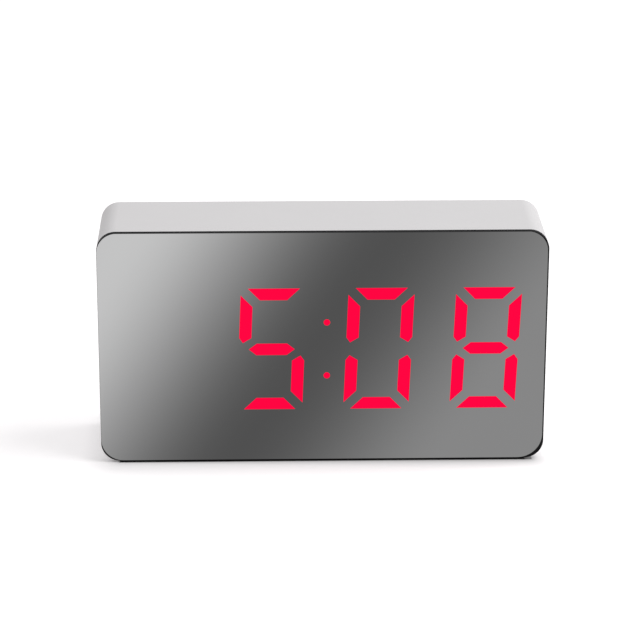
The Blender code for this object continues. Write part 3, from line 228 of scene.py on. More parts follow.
class DisplayLooks(bpy.types.PropertyGroup):
    hour: IntProperty(name="Hour", description="Hour shown", default=5, min=0, max=23)
    minute: IntProperty(name="Minute", description="Minute shown", default=8, min=0, max=59)
    colon: BoolProperty(name="Colon", description="Light the two dots", default=True)
    light_colour: FloatVectorProperty(
        name="Light colour", description="Colour of the lit segments", subtype="COLOR",
        default=(1.0, 0.0, 0.0513), min=0.0, max=1.0)
    film_rise: FloatProperty(
        name="Film rise", description="How much higher the segments show on the mirror than their wells sit",
        unit="LENGTH", subtype="DISTANCE", default=0.19 * MM, min=-1.0 * MM, max=1.0 * MM)
    film_proud: FloatProperty(
        name="Film thickness", description="How far the lit film stands on the mirror", unit="LENGTH",
        subtype="DISTANCE", default=0.02 * MM, min=0.005 * MM, max=0.2 * MM)


class BackLooks(bpy.types.PropertyGroup):
    key_colour: FloatVectorProperty(
        name="Key colour", description="Colour of the four buttons", subtype="COLOR",
        default=(0.5, 0.495, 0.5), min=0.0, max=1.0)
    key_dish: FloatProperty(
        name="Key dish", description="Depth of the hollow in each button", unit="LENGTH",
        subtype="DISTANCE", default=0.15 * MM, min=0.0, max=0.4 * MM)
    sleeve_colour: FloatVectorProperty(
        name="Cell sleeve", description="Colour of the battery cells' sleeve", subtype="COLOR",
        default=(0.03, 0.16, 0.10), min=0.0, max=1.0)


class StageLooks(bpy.types.PropertyGroup):
    floor_colour: FloatVectorProperty(
        name="Table colour", description="Colour of the table", subtype="COLOR",
        default=(0.8, 0.789, 0.794), min=0.0, max=1.0)
    floor_glow: FloatProperty(
        name="Table glow", description="Light that the lit table gives off", default=0.39, min=0.0, max=1.0)
    # The table's colour is darkened right under the clock and runs out to white round it, wider to the right:
    # a painted contact shadow.
    painted_shadow_whiteness: FloatProperty(
        name="Seat shade", description="Share of its whiteness that the table keeps right under the clock",
        default=0.05, min=0.0, max=1.0)
    painted_shadow_fade: FloatVectorProperty(
        name="Seat fade", description="How far the shade under the clock runs out, at its left and right",
        size=2, unit="LENGTH", default=(0.4 * MM, 7.0 * MM), min=0.05 * MM)
    painted_shadow_curve: FloatProperty(
        name="Seat curve", description="Power of the shade's run out: the smaller, the steeper at its start",
        default=0.17, min=0.02, max=2.0)
    painted_shadow_reach: FloatVectorProperty(
        name="Seat reach", description="How far the shade runs out past the flat underside, left and right",
        size=2, unit="LENGTH", default=(0.3 * MM, 2.0 * MM), min=0.0)
    # The table's glow is nil under the clock and fades in over this distance: a painted shadow round the
    # clock.
    glow_shadow_fade: FloatProperty(
        name="Glow fade", description="How far from the clock the lit table reaches its full light",
        unit="LENGTH", subtype="DISTANCE", default=10.5 * MM, min=0.1 * MM)
    sky: FloatProperty(name="Sky", description="Strength of the white room", default=0.64, min=0.0, max=5.0)
    key_power: FloatProperty(
        name="Key power", description="Power of the large softbox", unit="POWER", default=7.9, min=0.0)
    key_place: FloatVectorProperty(
        name="Key place", description="Where the large softbox hangs", unit="LENGTH", subtype="XYZ",
        default=(0.7, -0.1, 0.8))
    camera_place: FloatVectorProperty(
        name="Camera place", description="Where the camera stands", unit="LENGTH", subtype="XYZ",
        default=(-0.0183, -0.6619, 0.2721))
    camera_tilt: FloatProperty(
        name="Camera tilt", description="Camera's tilt from straight down", unit="ROTATION",
        subtype="ANGLE", default=math.radians(70.214))
    camera_turn: FloatProperty(
        name="Camera turn", description="Camera's turn about the vertical", unit="ROTATION",
        subtype="ANGLE", default=math.radians(-1.55))
    camera_roll: FloatProperty(
        name="Camera roll", description="Camera's roll about its own line", unit="ROTATION",
        subtype="ANGLE", default=math.radians(0.14))
    camera_lens: FloatProperty(
        name="Lens", description="Focal length in millimetres", default=151.43, min=1.0)


# ---------------------------------------------------------------- surfaces worked out as whole arrays

def grid_faces(rows, columns, close_rows=False, close_columns=True):
    """Quads of a rows x columns grid: (i, j), (i, j+1), (i+1, j+1), (i+1, j), wrapping where it is closed."""
    row = np.arange(rows if close_rows else rows - 1)[:, None]
    column = np.arange(columns if close_columns else columns - 1)[None, :]
    next_row = (row + 1) % rows
    next_column = (column + 1) % columns
    quads = np.stack([row * columns + column, row * columns + next_column,
                      next_row * columns + next_column, next_row * columns + column], axis=-1)
    return quads.reshape(-1, 4)


def outward(points, faces):
    """Turns every face round if the signed volume, a sixth of the sum of a . (b x c), is negative."""
    a, b, c, d = (points[faces[:, k]] for k in range(4))
    volume = np.einsum("ij,ij->", a, np.cross(b, c)) + np.einsum("ij,ij->", a, np.cross(c, d))
    return faces[:, ::-1] if volume < 0 else faces


def shell_grid(points, close_rows=False, slots=None):
    """A grid of points (rows, columns, 3) as one closed shell: points, faces and a slot for each face."""
    rows, columns = points.shape[:2]
    flat = points.reshape(-1, 3)
    faces = outward(flat, grid_faces(rows, columns, close_rows))
    strips = rows if close_rows else rows - 1
    slot_of_strip = np.zeros(strips, int) if slots is None else np.asarray(slots)
    return flat, faces, np.repeat(slot_of_strip, columns)


def put_piece(name, body, shells, materials, sharp=35.0):
    """Makes one mesh of closed shells, merges poles, smooths faces that meet at less than sharp degrees."""
    starts = np.cumsum([0] + [len(points) for points, _, _ in shells[:-1]])
    points = np.concatenate([points for points, _, _ in shells])
    faces = np.concatenate([faces + start for (_, faces, _), start in zip(shells, starts)])
    slots = np.concatenate([slot for _, _, slot in shells])
    mesh = bpy.data.meshes.new(name)
    mesh.from_pydata(points, [], faces)
    give(mesh, materials)
    mesh.polygons.foreach_set("material_index", slots.astype(np.int32))
    merge(mesh)
    return finish_piece(name, body, mesh, sharp)


def merge(mesh, flat_within=0.0):
    """Joins points that lie on each other, and turns faces flat within that many degrees into one."""
    work = bmesh.new()
    work.from_mesh(mesh)
    bmesh.ops.remove_doubles(work, verts=work.verts, dist=MERGE_DISTANCE)
    if flat_within:
        bmesh.ops.dissolve_limit(work, angle_limit=math.radians(flat_within), verts=work.verts,
                                 edges=work.edges)
    work.to_mesh(mesh)
    work.free()


def give(mesh, materials):
    """Puts these materials in the mesh's slots. It comes before any face is given its slot."""
    mesh.materials.clear()
    for material in materials:
        mesh.materials.append(material)


def finish_piece(name, body, mesh, sharp):
    """Smooths the arcs, keeps flat faces flat and corners crisp, and hangs the piece on its body."""
    mesh.polygons.foreach_set("use_smooth", np.ones(len(mesh.polygons), bool))
    mesh.set_sharp_from_angle(angle=math.radians(sharp))
    piece = bpy.data.objects.new(name, mesh)
    bpy.context.scene.collection.objects.link(piece)
    flat = piece.modifiers.new("flat_faces_stay_flat", "WEIGHTED_NORMAL")
    flat.mode = "FACE_AREA"
    flat.keep_sharp = True
    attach(piece, body)
    return piece


def rounded_loop(half_width, half_height, radius, steps):
    """A rectangle with round corners, anticlockwise: corner + radius (cos t, sin t), t over each quarter.

    The quarters are upper right, upper left, lower left and lower right. A row may give each its own radius.
    """
    quarter = np.repeat(np.arange(4), steps + 1)
    radius = radius[:, quarter] if radius.shape[1] == 4 else radius
    turn = (np.tile(np.arange(steps + 1) / steps, 4) + quarter) * math.pi / 2
    side = np.array([1, -1, -1, 1])[quarter]
    up = np.array([1, 1, -1, -1])[quarter]
    x = side * (half_width - radius) + radius * np.cos(turn)
    z = up * (half_height - radius) + radius * np.sin(turn)
    return x, z


def loft(stations, steps=14):
    """Rounded rectangles one behind the other.

    A station is half width, half height, corner radius or four of them, y, middle x and middle z.
    """
    half_width, half_height, _, depth, x0, z0 = (
        np.array([station[k] if k != 2 else 0.0 for station in stations])[:, None] for k in range(6))
    radius = np.array([np.broadcast_to(station[2], 4) for station in stations])
    x, z = rounded_loop(half_width, half_height, radius, steps)
    return np.stack([x + x0, np.broadcast_to(depth, x.shape), z + z0], axis=-1)


def edge_arc(inset, depth, steps, start, end):
    """Inset and depth along an arc of an edge, from start to end degrees, of radii inset and depth."""
    turn = np.radians(np.linspace(start, end, steps + 1))
    return inset * (1 - np.cos(turn)), depth * np.sin(turn)


def edge_stations(half_width, half_height, corner, insets, depths, x0, z0):
    """Stations round an edge: the outline drawn in by each inset, at the depth that goes with it."""
    return [(half_width - i, half_height - i, corner - i, y, x0, z0) for i, y in zip(insets, depths)]


def rounded_plate(half_width, half_height, radius, front, back, edge, x0, z0, steps=14):
    """A plate with rounded front and rear edges, closed by a point in the middle of each face."""
    inset, run = edge_arc(edge, edge, 5, 90, 0)
    insets = np.concatenate([inset, inset[::-1]])
    depths = np.concatenate([front + edge - run, back - edge + run[::-1]])
    rows = [(half_width - i, half_height - i, max(radius - i, 1e-5), y, x0, z0)
            for i, y in zip(insets, depths)]
    return loft([(*POLE, front, x0, z0), *rows, (*POLE, back, x0, z0)], steps)


def turned(profile, centre, axis, count=48):
    """A profile of (along, radius) turned about an axis: centre + along axis + radius (c cos t + d sin t)."""
    along, radius = np.asarray(profile, float).T
    axis = np.asarray(axis, float)
    across = np.cross(axis, (0.0, 0.0, 1.0)) if abs(axis[2]) < 0.9 else np.array((1.0, 0.0, 0.0))
    other = np.cross(axis, across)
    turn = np.linspace(0, 2 * math.pi, count, endpoint=False)
    spoke = np.cos(turn)[:, None] * across + np.sin(turn)[:, None] * other
    return (np.asarray(centre) + along[:, None, None] * axis
            + radius[:, None, None] * spoke[None, :, :])


def tube(path, radius, sides=14):
    """A round wire along a path: path + radius (n cos t + b sin t), its frame carried without twist."""
    tangent = np.gradient(path, axis=0)
    tangent /= np.linalg.norm(tangent, axis=1)[:, None]
    guide = np.cross(tangent[0], (0.3, 0.5, 0.8))
    normals = []
    for direction in tangent:
        guide = guide - direction * (guide @ direction)
        guide = guide / np.linalg.norm(guide)
        normals.append(guide)
    normal = np.array(normals)
    other = np.cross(tangent, normal)
    turn = np.linspace(0, 2 * math.pi, sides, endpoint=False)
    ring = normal[:, None] * np.cos(turn)[None, :, None] + other[:, None] * np.sin(turn)[None, :, None]
    body = path[:, None] + radius * ring
    ends = [np.repeat(path[k][None, None], sides, axis=1) for k in (0, -1)]
    return np.concatenate([ends[0], body, ends[1]])


def smoothed_copy(node, materials, sharp=32.0):
    """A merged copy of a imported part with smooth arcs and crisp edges, which stands for it."""
    source = frame["nodes"][node]
    mesh = source.data.copy()
    give(mesh, materials)
    merge(mesh, flat_within=FLAT_WITHIN_DEGREES)
    piece = finish_piece(node + "_finished", source["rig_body"], mesh, sharp)
    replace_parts(piece, node)
    return piece


def paint(node, *materials):
    """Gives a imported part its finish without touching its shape."""
    give(frame["nodes"][node].data, materials)


def middle_of(node):
    """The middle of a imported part's box."""
    low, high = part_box(node)
    return (low + high) / 2


# ---------------------------------------------------------------- finishes

def put_node(tree, kind, inputs=(), **settings):
    """Adds a shader node. inputs maps a socket's name or number to a value or to another node's output."""
    made = tree.nodes.new(kind)
    for key, value in settings.items():
        setattr(made, key, value)
    for key, value in dict(inputs).items():
        if isinstance(value, bpy.types.NodeSocket):
            tree.links.new(value, made.inputs[key])
        else:
            made.inputs[key].default_value = value
    return made


def reckon(tree, operation, *values, clamp=False):
    """A node that works out the operation on its values, which are numbers or other nodes' outputs."""
    return put_node(tree, "ShaderNodeMath", dict(enumerate(values)), operation=operation,
                    use_clamp=clamp).outputs[0]


def new_finish(name, colour, roughness, metallic=0.0):
    """A material with its shader, and the object's own coordinates to lay patterns in."""
    material = bpy.data.materials.new(name)
    material.use_nodes = True
    material.diffuse_color = (*colour, 1.0)
    tree = material.node_tree
    shader = tree.nodes["Principled BSDF"]
    shader.inputs["Base Color"].default_value = (*colour, 1.0)
    shader.inputs["Roughness"].default_value = roughness
    shader.inputs["Metallic"].default_value = metallic
    place = put_node(tree, "ShaderNodeTexCoord").outputs["Object"]
    return material, tree, shader, place


def speckle(tree, place, size, detail=3.0, stretch=(1.0, 1.0, 1.0)):
    """Noise with features of about that size in metres, stretched along an axis where asked."""
    if stretch != (1.0, 1.0, 1.0):
        place = put_node(tree, "ShaderNodeMapping", {"Vector": place, "Scale": stretch}).outputs[0]
    return put_node(tree, "ShaderNodeTexNoise",
                    {"Vector": place, "Scale": 1.0 / size, "Detail": detail}).outputs["Fac"]


def blend_colours(tree, share, first, second):
    """Runs from the first colour to the second as share runs from 0 to 1."""
    return put_node(tree, "ShaderNodeMix",
                    {0: share, 6: (*first, 1.0) if isinstance(first, tuple) else first,
                     7: (*second, 1.0) if isinstance(second, tuple) else second},
                    data_type="RGBA").outputs[2]


def spread(tree, value, low, high, source_low=0.3, source_high=0.7):
    """Stretches a value's run between source_low and source_high to low and high, and clamps it."""
    return put_node(tree, "ShaderNodeMapRange",
                    {"Value": value, "From Min": source_low, "From Max": source_high,
                     "To Min": low, "To Max": high}).outputs[0]


def shade(colour, factor):
    """A lighter or darker colour of the same hue."""
    return tuple(min(1.0, part * factor) for part in colour)


def mottle(tree, shader, place, colour, size, share):
    """Lets the colour wander by a small share either way."""
    cloud = spread(tree, speckle(tree, place, size, 2.0), 0.0, 1.0)
    mixed = blend_colours(tree, cloud, shade(colour, 1 - share), shade(colour, 1 + share))
    tree.links.new(mixed, shader.inputs["Base Color"])
    return mixed


def relief(tree, shader, height, depth, rounding=0.0):
    """Bump of that depth in metres, over edges that are softened by rounding."""
    inputs = {"Height": height, "Distance": depth, "Strength": 1.0}
    if rounding:
        inputs["Normal"] = put_node(tree, "ShaderNodeBevel", {"Radius": rounding}, samples=6).outputs[0]
    tree.links.new(put_node(tree, "ShaderNodeBump", inputs).outputs[0], shader.inputs["Normal"])


def moulded(name, colour, roughness, grain=0.4 * MM, depth=0.004 * MM, rounding=0.0, share=0.012, shine=0.5):
    """Moulded plastic: fine eroded grain, gloss that varies a little, and a faint drift of colour."""
    material, tree, shader, place = new_finish(name, colour, roughness)
    shader.inputs["Specular IOR Level"].default_value = shine
    mottle(tree, shader, place, colour, 14 * MM, share)
    fine = speckle(tree, place, grain, 4.0)
    relief(tree, shader, fine, depth, rounding)
    sheen = speckle(tree, place, 5 * MM, 3.0)
    tree.links.new(spread(tree, sheen, roughness - 0.04, roughness + 0.05), shader.inputs["Roughness"])
    return material


def metal(name, colour, roughness, stretch=(1.0, 1.0, 12.0), rounding=0.0, grain=0.12 * MM, depth=0.002 * MM):
    """Drawn or plated metal: lines along one way, and a slightly uneven shine."""
    material, tree, shader, place = new_finish(name, colour, roughness, 1.0)
    mottle(tree, shader, place, colour, 3 * MM, 0.06)
    lines = speckle(tree, place, grain * 6, 3.0, stretch)
    relief(tree, shader, lines, depth, rounding)
    tree.links.new(spread(tree, lines, roughness * 0.75, roughness * 1.3), shader.inputs["Roughness"])
    return material


def half_mirror(name, colour):
    """The vacuum coat: a sharp grey mirror with the faintest haze."""
    material, tree, shader, place = new_finish(name, colour, 0.02, 1.0)
    haze = speckle(tree, place, 9 * MM, 4.0)
    tree.links.new(spread(tree, haze, 0.012, 0.034), shader.inputs["Roughness"])
    tint = spread(tree, speckle(tree, place, 25 * MM, 2.0), 0.0, 1.0)
    tree.links.new(blend_colours(tree, tint, shade(colour, 0.995), shade(colour, 1.005)),
                   shader.inputs["Base Color"])
    return material


def lit_film(name, colour):
    """Even light of a lit segment, a little weaker in random patches about 3 mm across."""
    material, tree, shader, place = new_finish(name, (0.0, 0.0, 0.0), 0.4)
    shader.inputs["Specular IOR Level"].default_value = 0.05
    lamps = spread(tree, speckle(tree, place, 3 * MM, 1.0), 0.0, 1.0)
    tree.links.new(blend_colours(tree, lamps, shade(colour, 0.985), colour), shader.inputs["Emission Color"])
    shader.inputs["Emission Strength"].default_value = FILM_LIGHT
    return material


def circuit_board(name, lamp_depth=-1.0):
    """Green solder mask over traces, and pale lamp bodies wherever the part stands in front of lamp_depth."""
    green = (0.015, 0.13, 0.05)
    material, tree, shader, place = new_finish(name, green, 0.3)
    across = put_node(tree, "ShaderNodeMapping",
                      {"Vector": place, "Rotation": (math.pi / 2, 0.0, 0.0)}).outputs[0]
    runs = put_node(tree, "ShaderNodeTexBrick",
                    {"Vector": across, "Scale": 1.0 / (14 * MM), "Mortar Size": 0.03, "Brick Width": 0.7,
                     "Row Height": 0.22, "Color1": (*green, 1.0), "Color2": (*shade(green, 0.85), 1.0),
                     "Mortar": (*shade(green, 2.1), 1.0)})
    depth = put_node(tree, "ShaderNodeSeparateXYZ", {"Vector": place}).outputs["Y"]
    lamp = reckon(tree, "LESS_THAN", depth, lamp_depth)
    tree.links.new(blend_colours(tree, lamp, runs.outputs["Color"], (0.75, 0.73, 0.62)),
                   shader.inputs["Base Color"])
    relief(tree, shader, runs.outputs["Fac"], 0.02 * MM)
    tree.links.new(spread(tree, speckle(tree, place, 1.5 * MM), 0.24, 0.4), shader.inputs["Roughness"])
    return material


def ribbon(name, colour, pitch):
    """Flat cable: one ridge and one shallow groove for each of its conductors, with painted shade that
    darkens the grooves.
    """
    material, tree, shader, place = new_finish(name, colour, 0.45)
    cores_and_groove_shade = put_node(tree, "ShaderNodeTexWave", {"Vector": place, "Scale": 0.314 / pitch},
                     bands_direction="X").outputs["Fac"]
    # The grooves are painted darker: painted shade.
    tree.links.new(blend_colours(tree, cores_and_groove_shade, shade(colour, 0.7), colour), shader.inputs["Base Color"])
    relief(tree, shader, cores_and_groove_shade, 0.15 * MM)
    return material


def gap_beyond(tree, place, low, high):
    """Distance from a point to the rectangle low to high: the length of max(|p - middle| - half size, 0)."""
    middle = (low + high) / 2
    half = (high - low) / 2
    gap = place
    for operation, other in (("SUBTRACT", (middle.x, middle.y, 0.0)), ("ABSOLUTE", (0.0, 0.0, 0.0)),
                             ("SUBTRACT", (half.x, half.y, 0.0)), ("MAXIMUM", (0.0, 0.0, 0.0))):
        gap = put_node(tree, "ShaderNodeVectorMath", {0: gap, 1: other}, operation=operation).outputs[0]
    return put_node(tree, "ShaderNodeVectorMath", {0: gap}, operation="LENGTH").outputs["Value"]


def reflection_card(name, tones):
    """Studio card that the mirror sees: a slanted run of tones, each paired with its place in metres.

    The run eases in and out of each tone, 3 t^2 - 2 t^3, and gives off light of tone ^ CARD_GAMMA.
    """
    material = bpy.data.materials.new(name)
    material.use_nodes = True
    tree = material.node_tree
    tree.nodes.clear()
    place = put_node(tree, "ShaderNodeTexCoord").outputs["Object"]
    parts = put_node(tree, "ShaderNodeSeparateXYZ", {"Vector": place}).outputs
    lean = reckon(tree, "MULTIPLY_ADD", parts["Z"], -CARD_LEAN, CARD_START)
    offset = reckon(tree, "ADD", parts["X"], lean)
    first, last = tones[0][0], tones[-1][0]
    share = spread(tree, offset, 0.0, 1.0, first, last)
    ramp = put_node(tree, "ShaderNodeValToRGB", {"Fac": share})
    ramp.color_ramp.interpolation = "EASE"
    stops = ramp.color_ramp.elements
    stops[0].position = 0.0
    stops[1].position = 1.0
    for offset_at, _ in tones[1:-1]:
        stops.new((offset_at - first) / (last - first))
    for stop, (_, tone) in zip(stops, tones):
        stop.color = (tone, tone, tone, 1.0)
    light = put_node(tree, "ShaderNodeGamma", {"Color": ramp.outputs["Color"], "Gamma": CARD_GAMMA})
    glow = put_node(tree, "ShaderNodeEmission", {"Color": light.outputs[0]})
    put_node(tree, "ShaderNodeOutputMaterial", {"Surface": glow.outputs[0]})
    material.cycles.emission_sampling = "NONE"
    return material


# The card stands this far in front of the mirror, and its tones lean as it rises
CARD_DISTANCE = 400 * MM
CARD_LEAN = 0.659
CARD_START = -83.8 * MM
CARD_HALF_WIDTH = 1.3
CARD_HALF_HEIGHT = 1.2
CARD_GAMMA = 2.2
CARD_TONES = (
    (-900 * MM, 0.79), (-740 * MM, 0.87), (-580 * MM, 0.71), (-440 * MM, 0.52), (-340 * MM, 0.48),
    (-250 * MM, 0.68), (-180 * MM, 0.88), (-107 * MM, 0.945), (0 * MM, 0.394), (88 * MM, 0.647),
    (125 * MM, 0.65), (230 * MM, 0.77), (320 * MM, 0.85), (430 * MM, 0.72), (560 * MM, 0.53),
    (700 * MM, 0.57), (900 * MM, 0.79),
)


# ---------------------------------------------------------------- operators

class CLOCK_OT_case(bpy.types.Operator):
    """The moulded case: skin with rounded rear edge, inner wall, front flange, four screw columns, and a
    black front rim that is painted shade of the gap round the mirror
    """
    bl_idname = "clock.case"
    bl_label = "Case"

    def execute(self, context):
        given = context.scene.clock_case
        plastic = moulded("case_plastic", tuple(given.shell_colour), 0.42, given.grain_size,
                          given.grain_depth, share=0.006)
        low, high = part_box("case_shell")
        half_width = (high.x - low.x) / 2
        half_height = (high.z - low.z) / 2
        middle = (high.z + low.z) / 2
        inset, run = edge_arc(given.front_edge, given.front_edge, 4, 90, 0)
        rows = [(*WINDOW, low.y, 0.0, WINDOW_MIDDLE)]
        rows += edge_stations(half_width, half_height, CORNER, inset, low.y + given.front_edge - run, 0.0,
                              middle)
        # The front edge's rounding and the band behind it are black: painted shade of the gap round the
        # mirror.
        painted_shade_strips = len(rows)
        rows += [(half_width, half_height, CORNER, low.y + given.front_edge + given.gap_shade_band, 0.0, middle)]
        inset, run = edge_arc(given.rear_edge, given.rear_edge, 8, 0, 90)
        rows += edge_stations(half_width, half_height, CORNER, inset, high.y - given.rear_edge + run, 0.0,
                              middle)
        inner = (half_width - WALL, half_height - WALL, CORNER - WALL)
        rows += [(*inner, high.y, 0.0, middle), (*inner, low.y + FLANGE, 0.0, middle)]
        rows += [(*WINDOW, low.y + FLANGE, 0.0, WINDOW_MIDDLE)]
        slots = [0] + [1] * (painted_shade_strips - 1) + [0] * (len(rows) - painted_shade_strips)
        shells = [shell_grid(loft(rows, 18), close_rows=True, slots=slots)]
        for index in range(1, 5):
            screw = middle_of("case_screw_%d" % index)
            column = rounded_plate(COLUMN_HALF, COLUMN_HALF, COLUMN_CORNER, low.y + 0.5 * FLANGE,
                                   high.y - WALL - COLUMN_EDGE, COLUMN_EDGE, screw.x, screw.z, 4)
            shells.append(shell_grid(column))
        # Black of the painted shade in the gap round the mirror.
        rim = moulded("painted_gap_shade", (0.006, 0.006, 0.007), 0.6, 0.3 * MM, 0.002 * MM, shine=0.12)
        piece = put_piece("case_shell_finished", "clock", shells, [plastic, rim])
        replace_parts(piece, "case_shell")
        return {"FINISHED"}


class CLOCK_OT_mirror(bpy.types.Operator):
    """The front panel: half-mirror coat inside a thin black border, polished black edges, and its tape"""
    bl_idname = "clock.mirror"
    bl_label = "Mirror"

    def execute(self, context):
        given = context.scene.clock_mirror
        coat = half_mirror("half_mirror_coat", tuple(given.mirror_colour))
        edge_black = moulded("sawn_black_edge", (0.006, 0.006, 0.007), 0.55, 0.3 * MM, 0.002 * MM, shine=0.12)
        tape = moulded("foam_tape", (0.004, 0.004, 0.004), 0.9, 0.3 * MM, 0.03 * MM, shine=0.1)
        low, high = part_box("mirror_lens")
        half_width = (high.x - low.x) / 2
        half_height = (high.z - low.z) / 2
        middle = (high.z + low.z) / 2
        left, right, below, above = given.borders
        shift_x = (left - right) / 2
        coat_middle = middle + (below - above) / 2
        rows = [(*POLE, low.y, shift_x, coat_middle),
                (half_width - (left + right) / 2, half_height - (below + above) / 2,
                 tuple(given.coat_corners), low.y, shift_x, coat_middle)]
        inset, run = edge_arc(given.edge, given.edge, 5, 90, 0)
        depths = np.concatenate([low.y + given.edge - run, high.y - given.edge + run[::-1]])
        insets = np.concatenate([inset, inset[::-1]])
        rows += edge_stations(half_width, half_height, CORNER, insets, depths, 0.0, middle)
        rows += [(*POLE, high.y, 0.0, middle)]
        slots = [0] + [1] * (len(rows) - 2)
        panel = [shell_grid(loft(rows, 20), slots=slots)]
        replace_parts(put_piece("mirror_panel", "clock", panel, [coat, edge_black]), "mirror_lens")
        tape_low, tape_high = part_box("lens_tape")
        rim = (half_width - given.tape_inset, half_height - given.tape_inset, CORNER - given.tape_inset)
        rows = [(*WINDOW, tape_low.y, 0.0, WINDOW_MIDDLE), (*rim, tape_low.y, 0.0, middle),
                (*rim, tape_high.y, 0.0, middle), (*WINDOW, tape_high.y, 0.0, WINDOW_MIDDLE)]
        band = put_piece("lens_tape_finished", "clock", [shell_grid(loft(rows, 20), close_rows=True)], [tape])
        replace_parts(band, "lens_tape")
        return {"FINISHED"}


def segment_loops():
    """Each segment's outline about its digit's middle, leaning by x + z SLANT."""
    side, top = DIGIT_HALF_WIDTH, DIGIT_HALF_HEIGHT
    bar = np.array([(MITRE - side, top), (side - MITRE, top), (side - MITRE - STROKE, top - STROKE),
                    (MITRE + STROKE - side, top - STROKE)])
    post = np.array([(-side, top - MITRE), (STROKE - side, top - MITRE - STROKE), (STROKE - side, SHOULDER),
                     (TIP_INSET - side, TIP_HEIGHT), (-side, SHOULDER)])
    tip = side - BAR_TIP_INSET
    middle = np.array([(-tip, 0.0), (BAR_TIP_LENGTH - tip, STROKE / 2), (tip - BAR_TIP_LENGTH, STROKE / 2),
                       (tip, 0.0), (tip - BAR_TIP_LENGTH, -STROKE / 2), (BAR_TIP_LENGTH - tip, -STROKE / 2)])
    straight = {"top": bar, "bottom": bar * (1, -1), "middle": middle, "upper_left": post,
                "lower_left": post * (1, -1), "upper_right": post * (-1, 1), "lower_right": post * (-1, -1)}
    return {name: loop + np.stack([loop[:, 1] * SLANT, 0 * loop[:, 1]], axis=1)
            for name, loop in straight.items()}


def prism(loop, front, back, x0, z0):
    """An outline carried straight from front to back, closed by a fan about its middle at both ends."""
    middle = loop.mean(axis=0)
    ring = np.stack([loop[:, 0] + x0, 0 * loop[:, 0], loop[:, 1] + z0], axis=1)
    centre = np.repeat(np.array([[middle[0] + x0, 0.0, middle[1] + z0]]), len(loop), axis=0)
    rows = np.stack([centre, ring, ring, centre])
    rows[:2, :, 1] = front
    rows[2:, :, 1] = back
    return rows


class CLOCK_OT_display(bpy.types.Operator):
    """The lit segments as they shine through the mirror, and the film, reflector and board behind it"""
    bl_idname = "clock.display"
    bl_label = "Display"

    def execute(self, context):
        given = context.scene.clock_display
        light = lit_film("lit_segments_red", tuple(given.light_colour))
        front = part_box("mirror_lens")[0].y - given.film_proud
        back = front + 2 * given.film_proud
        loops = segment_loops()
        digits = [given.hour // 10 or None, given.hour % 10, given.minute // 10, given.minute % 10]
        shells = []
        height = WINDOW_MIDDLE + given.film_rise
        for index, digit in enumerate(digits):
            if digit is None:
                continue
            centre = DISPLAY_X + (index - 1.5) * DIGIT_PITCH
            shells += [shell_grid(prism(loops[name], front, back, centre, height))
                       for name in LIT_IN_DIGIT[digit]]
        if given.colon:
            turn = np.linspace(0, 2 * math.pi, 24, endpoint=False)
            dot = COLON_RADIUS * np.stack([np.cos(turn), np.sin(turn)], axis=1)
            shells += [shell_grid(prism(dot, front, back, COLON_X, height + rise))
                       for rise in (COLON_RISE, -COLON_RISE)]
        put_piece("lit_segments", "clock", shells, [light])
        paint("diffuser_film", moulded("smoke_red_film", (0.2, 0.012, 0.02), 0.35, 0.2 * MM, 0.003 * MM))
        paint("display_reflector", moulded("reflector_black", (0.02, 0.02, 0.021), 0.5, rounding=0.1 * MM))
        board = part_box("display_board")
        paint("display_board", circuit_board("display_board_mask", board[0].y + LAMP_HEIGHT))
        return {"FINISHED"}


class CLOCK_OT_back(bpy.types.Operator):
    """The rear cover, battery door, power socket and sounder"""
    bl_idname = "clock.back"
    bl_label = "Back"

    def execute(self, context):
        given = context.scene.clock_case
        colour = tuple(given.shell_colour)
        cover = moulded("cover_plastic", shade(colour, 0.985), 0.46, given.grain_size, given.grain_depth,
                        rounding=0.22 * MM, share=0.006)
        door = moulded("door_plastic", shade(colour, 0.97), 0.44, given.grain_size, given.grain_depth,
                       rounding=0.22 * MM, share=0.006)
        smoothed_copy("rear_cover", [cover])
        smoothed_copy("battery_door", [door])
        nickel = metal("socket_nickel", (0.72, 0.71, 0.68), 0.24, (1.0, 8.0, 1.0), 0.1 * MM)
        smoothed_copy("usb_socket", [nickel])
        paint("usb_tongue", moulded("tongue_black", (0.02, 0.02, 0.02), 0.4, rounding=0.08 * MM))
        brass = metal("disc_brass", (0.78, 0.58, 0.24), 0.28, (10.0, 1.0, 1.0))
        silver = moulded("fired_silver", (0.72, 0.7, 0.66), 0.5, share=0.05)
        for node, finish in (("sounder_disc", brass), ("sounder_ceramic", silver)):
            low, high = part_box(node)
            radius = (high.x - low.x) / 2
            depth = high.y - low.y
            profile = [(0, 0), (0, radius - DISC_EDGE), (DISC_EDGE, radius), (depth - DISC_EDGE, radius),
                       (depth, radius - DISC_EDGE), (depth, 0)]
            middle = (low + high) / 2
            disc = turned(profile, (middle.x, low.y, middle.z), (0, 1, 0), 64)
            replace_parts(put_piece(node + "_finished", "clock", [shell_grid(disc)], [finish]), node)
        return {"FINISHED"}


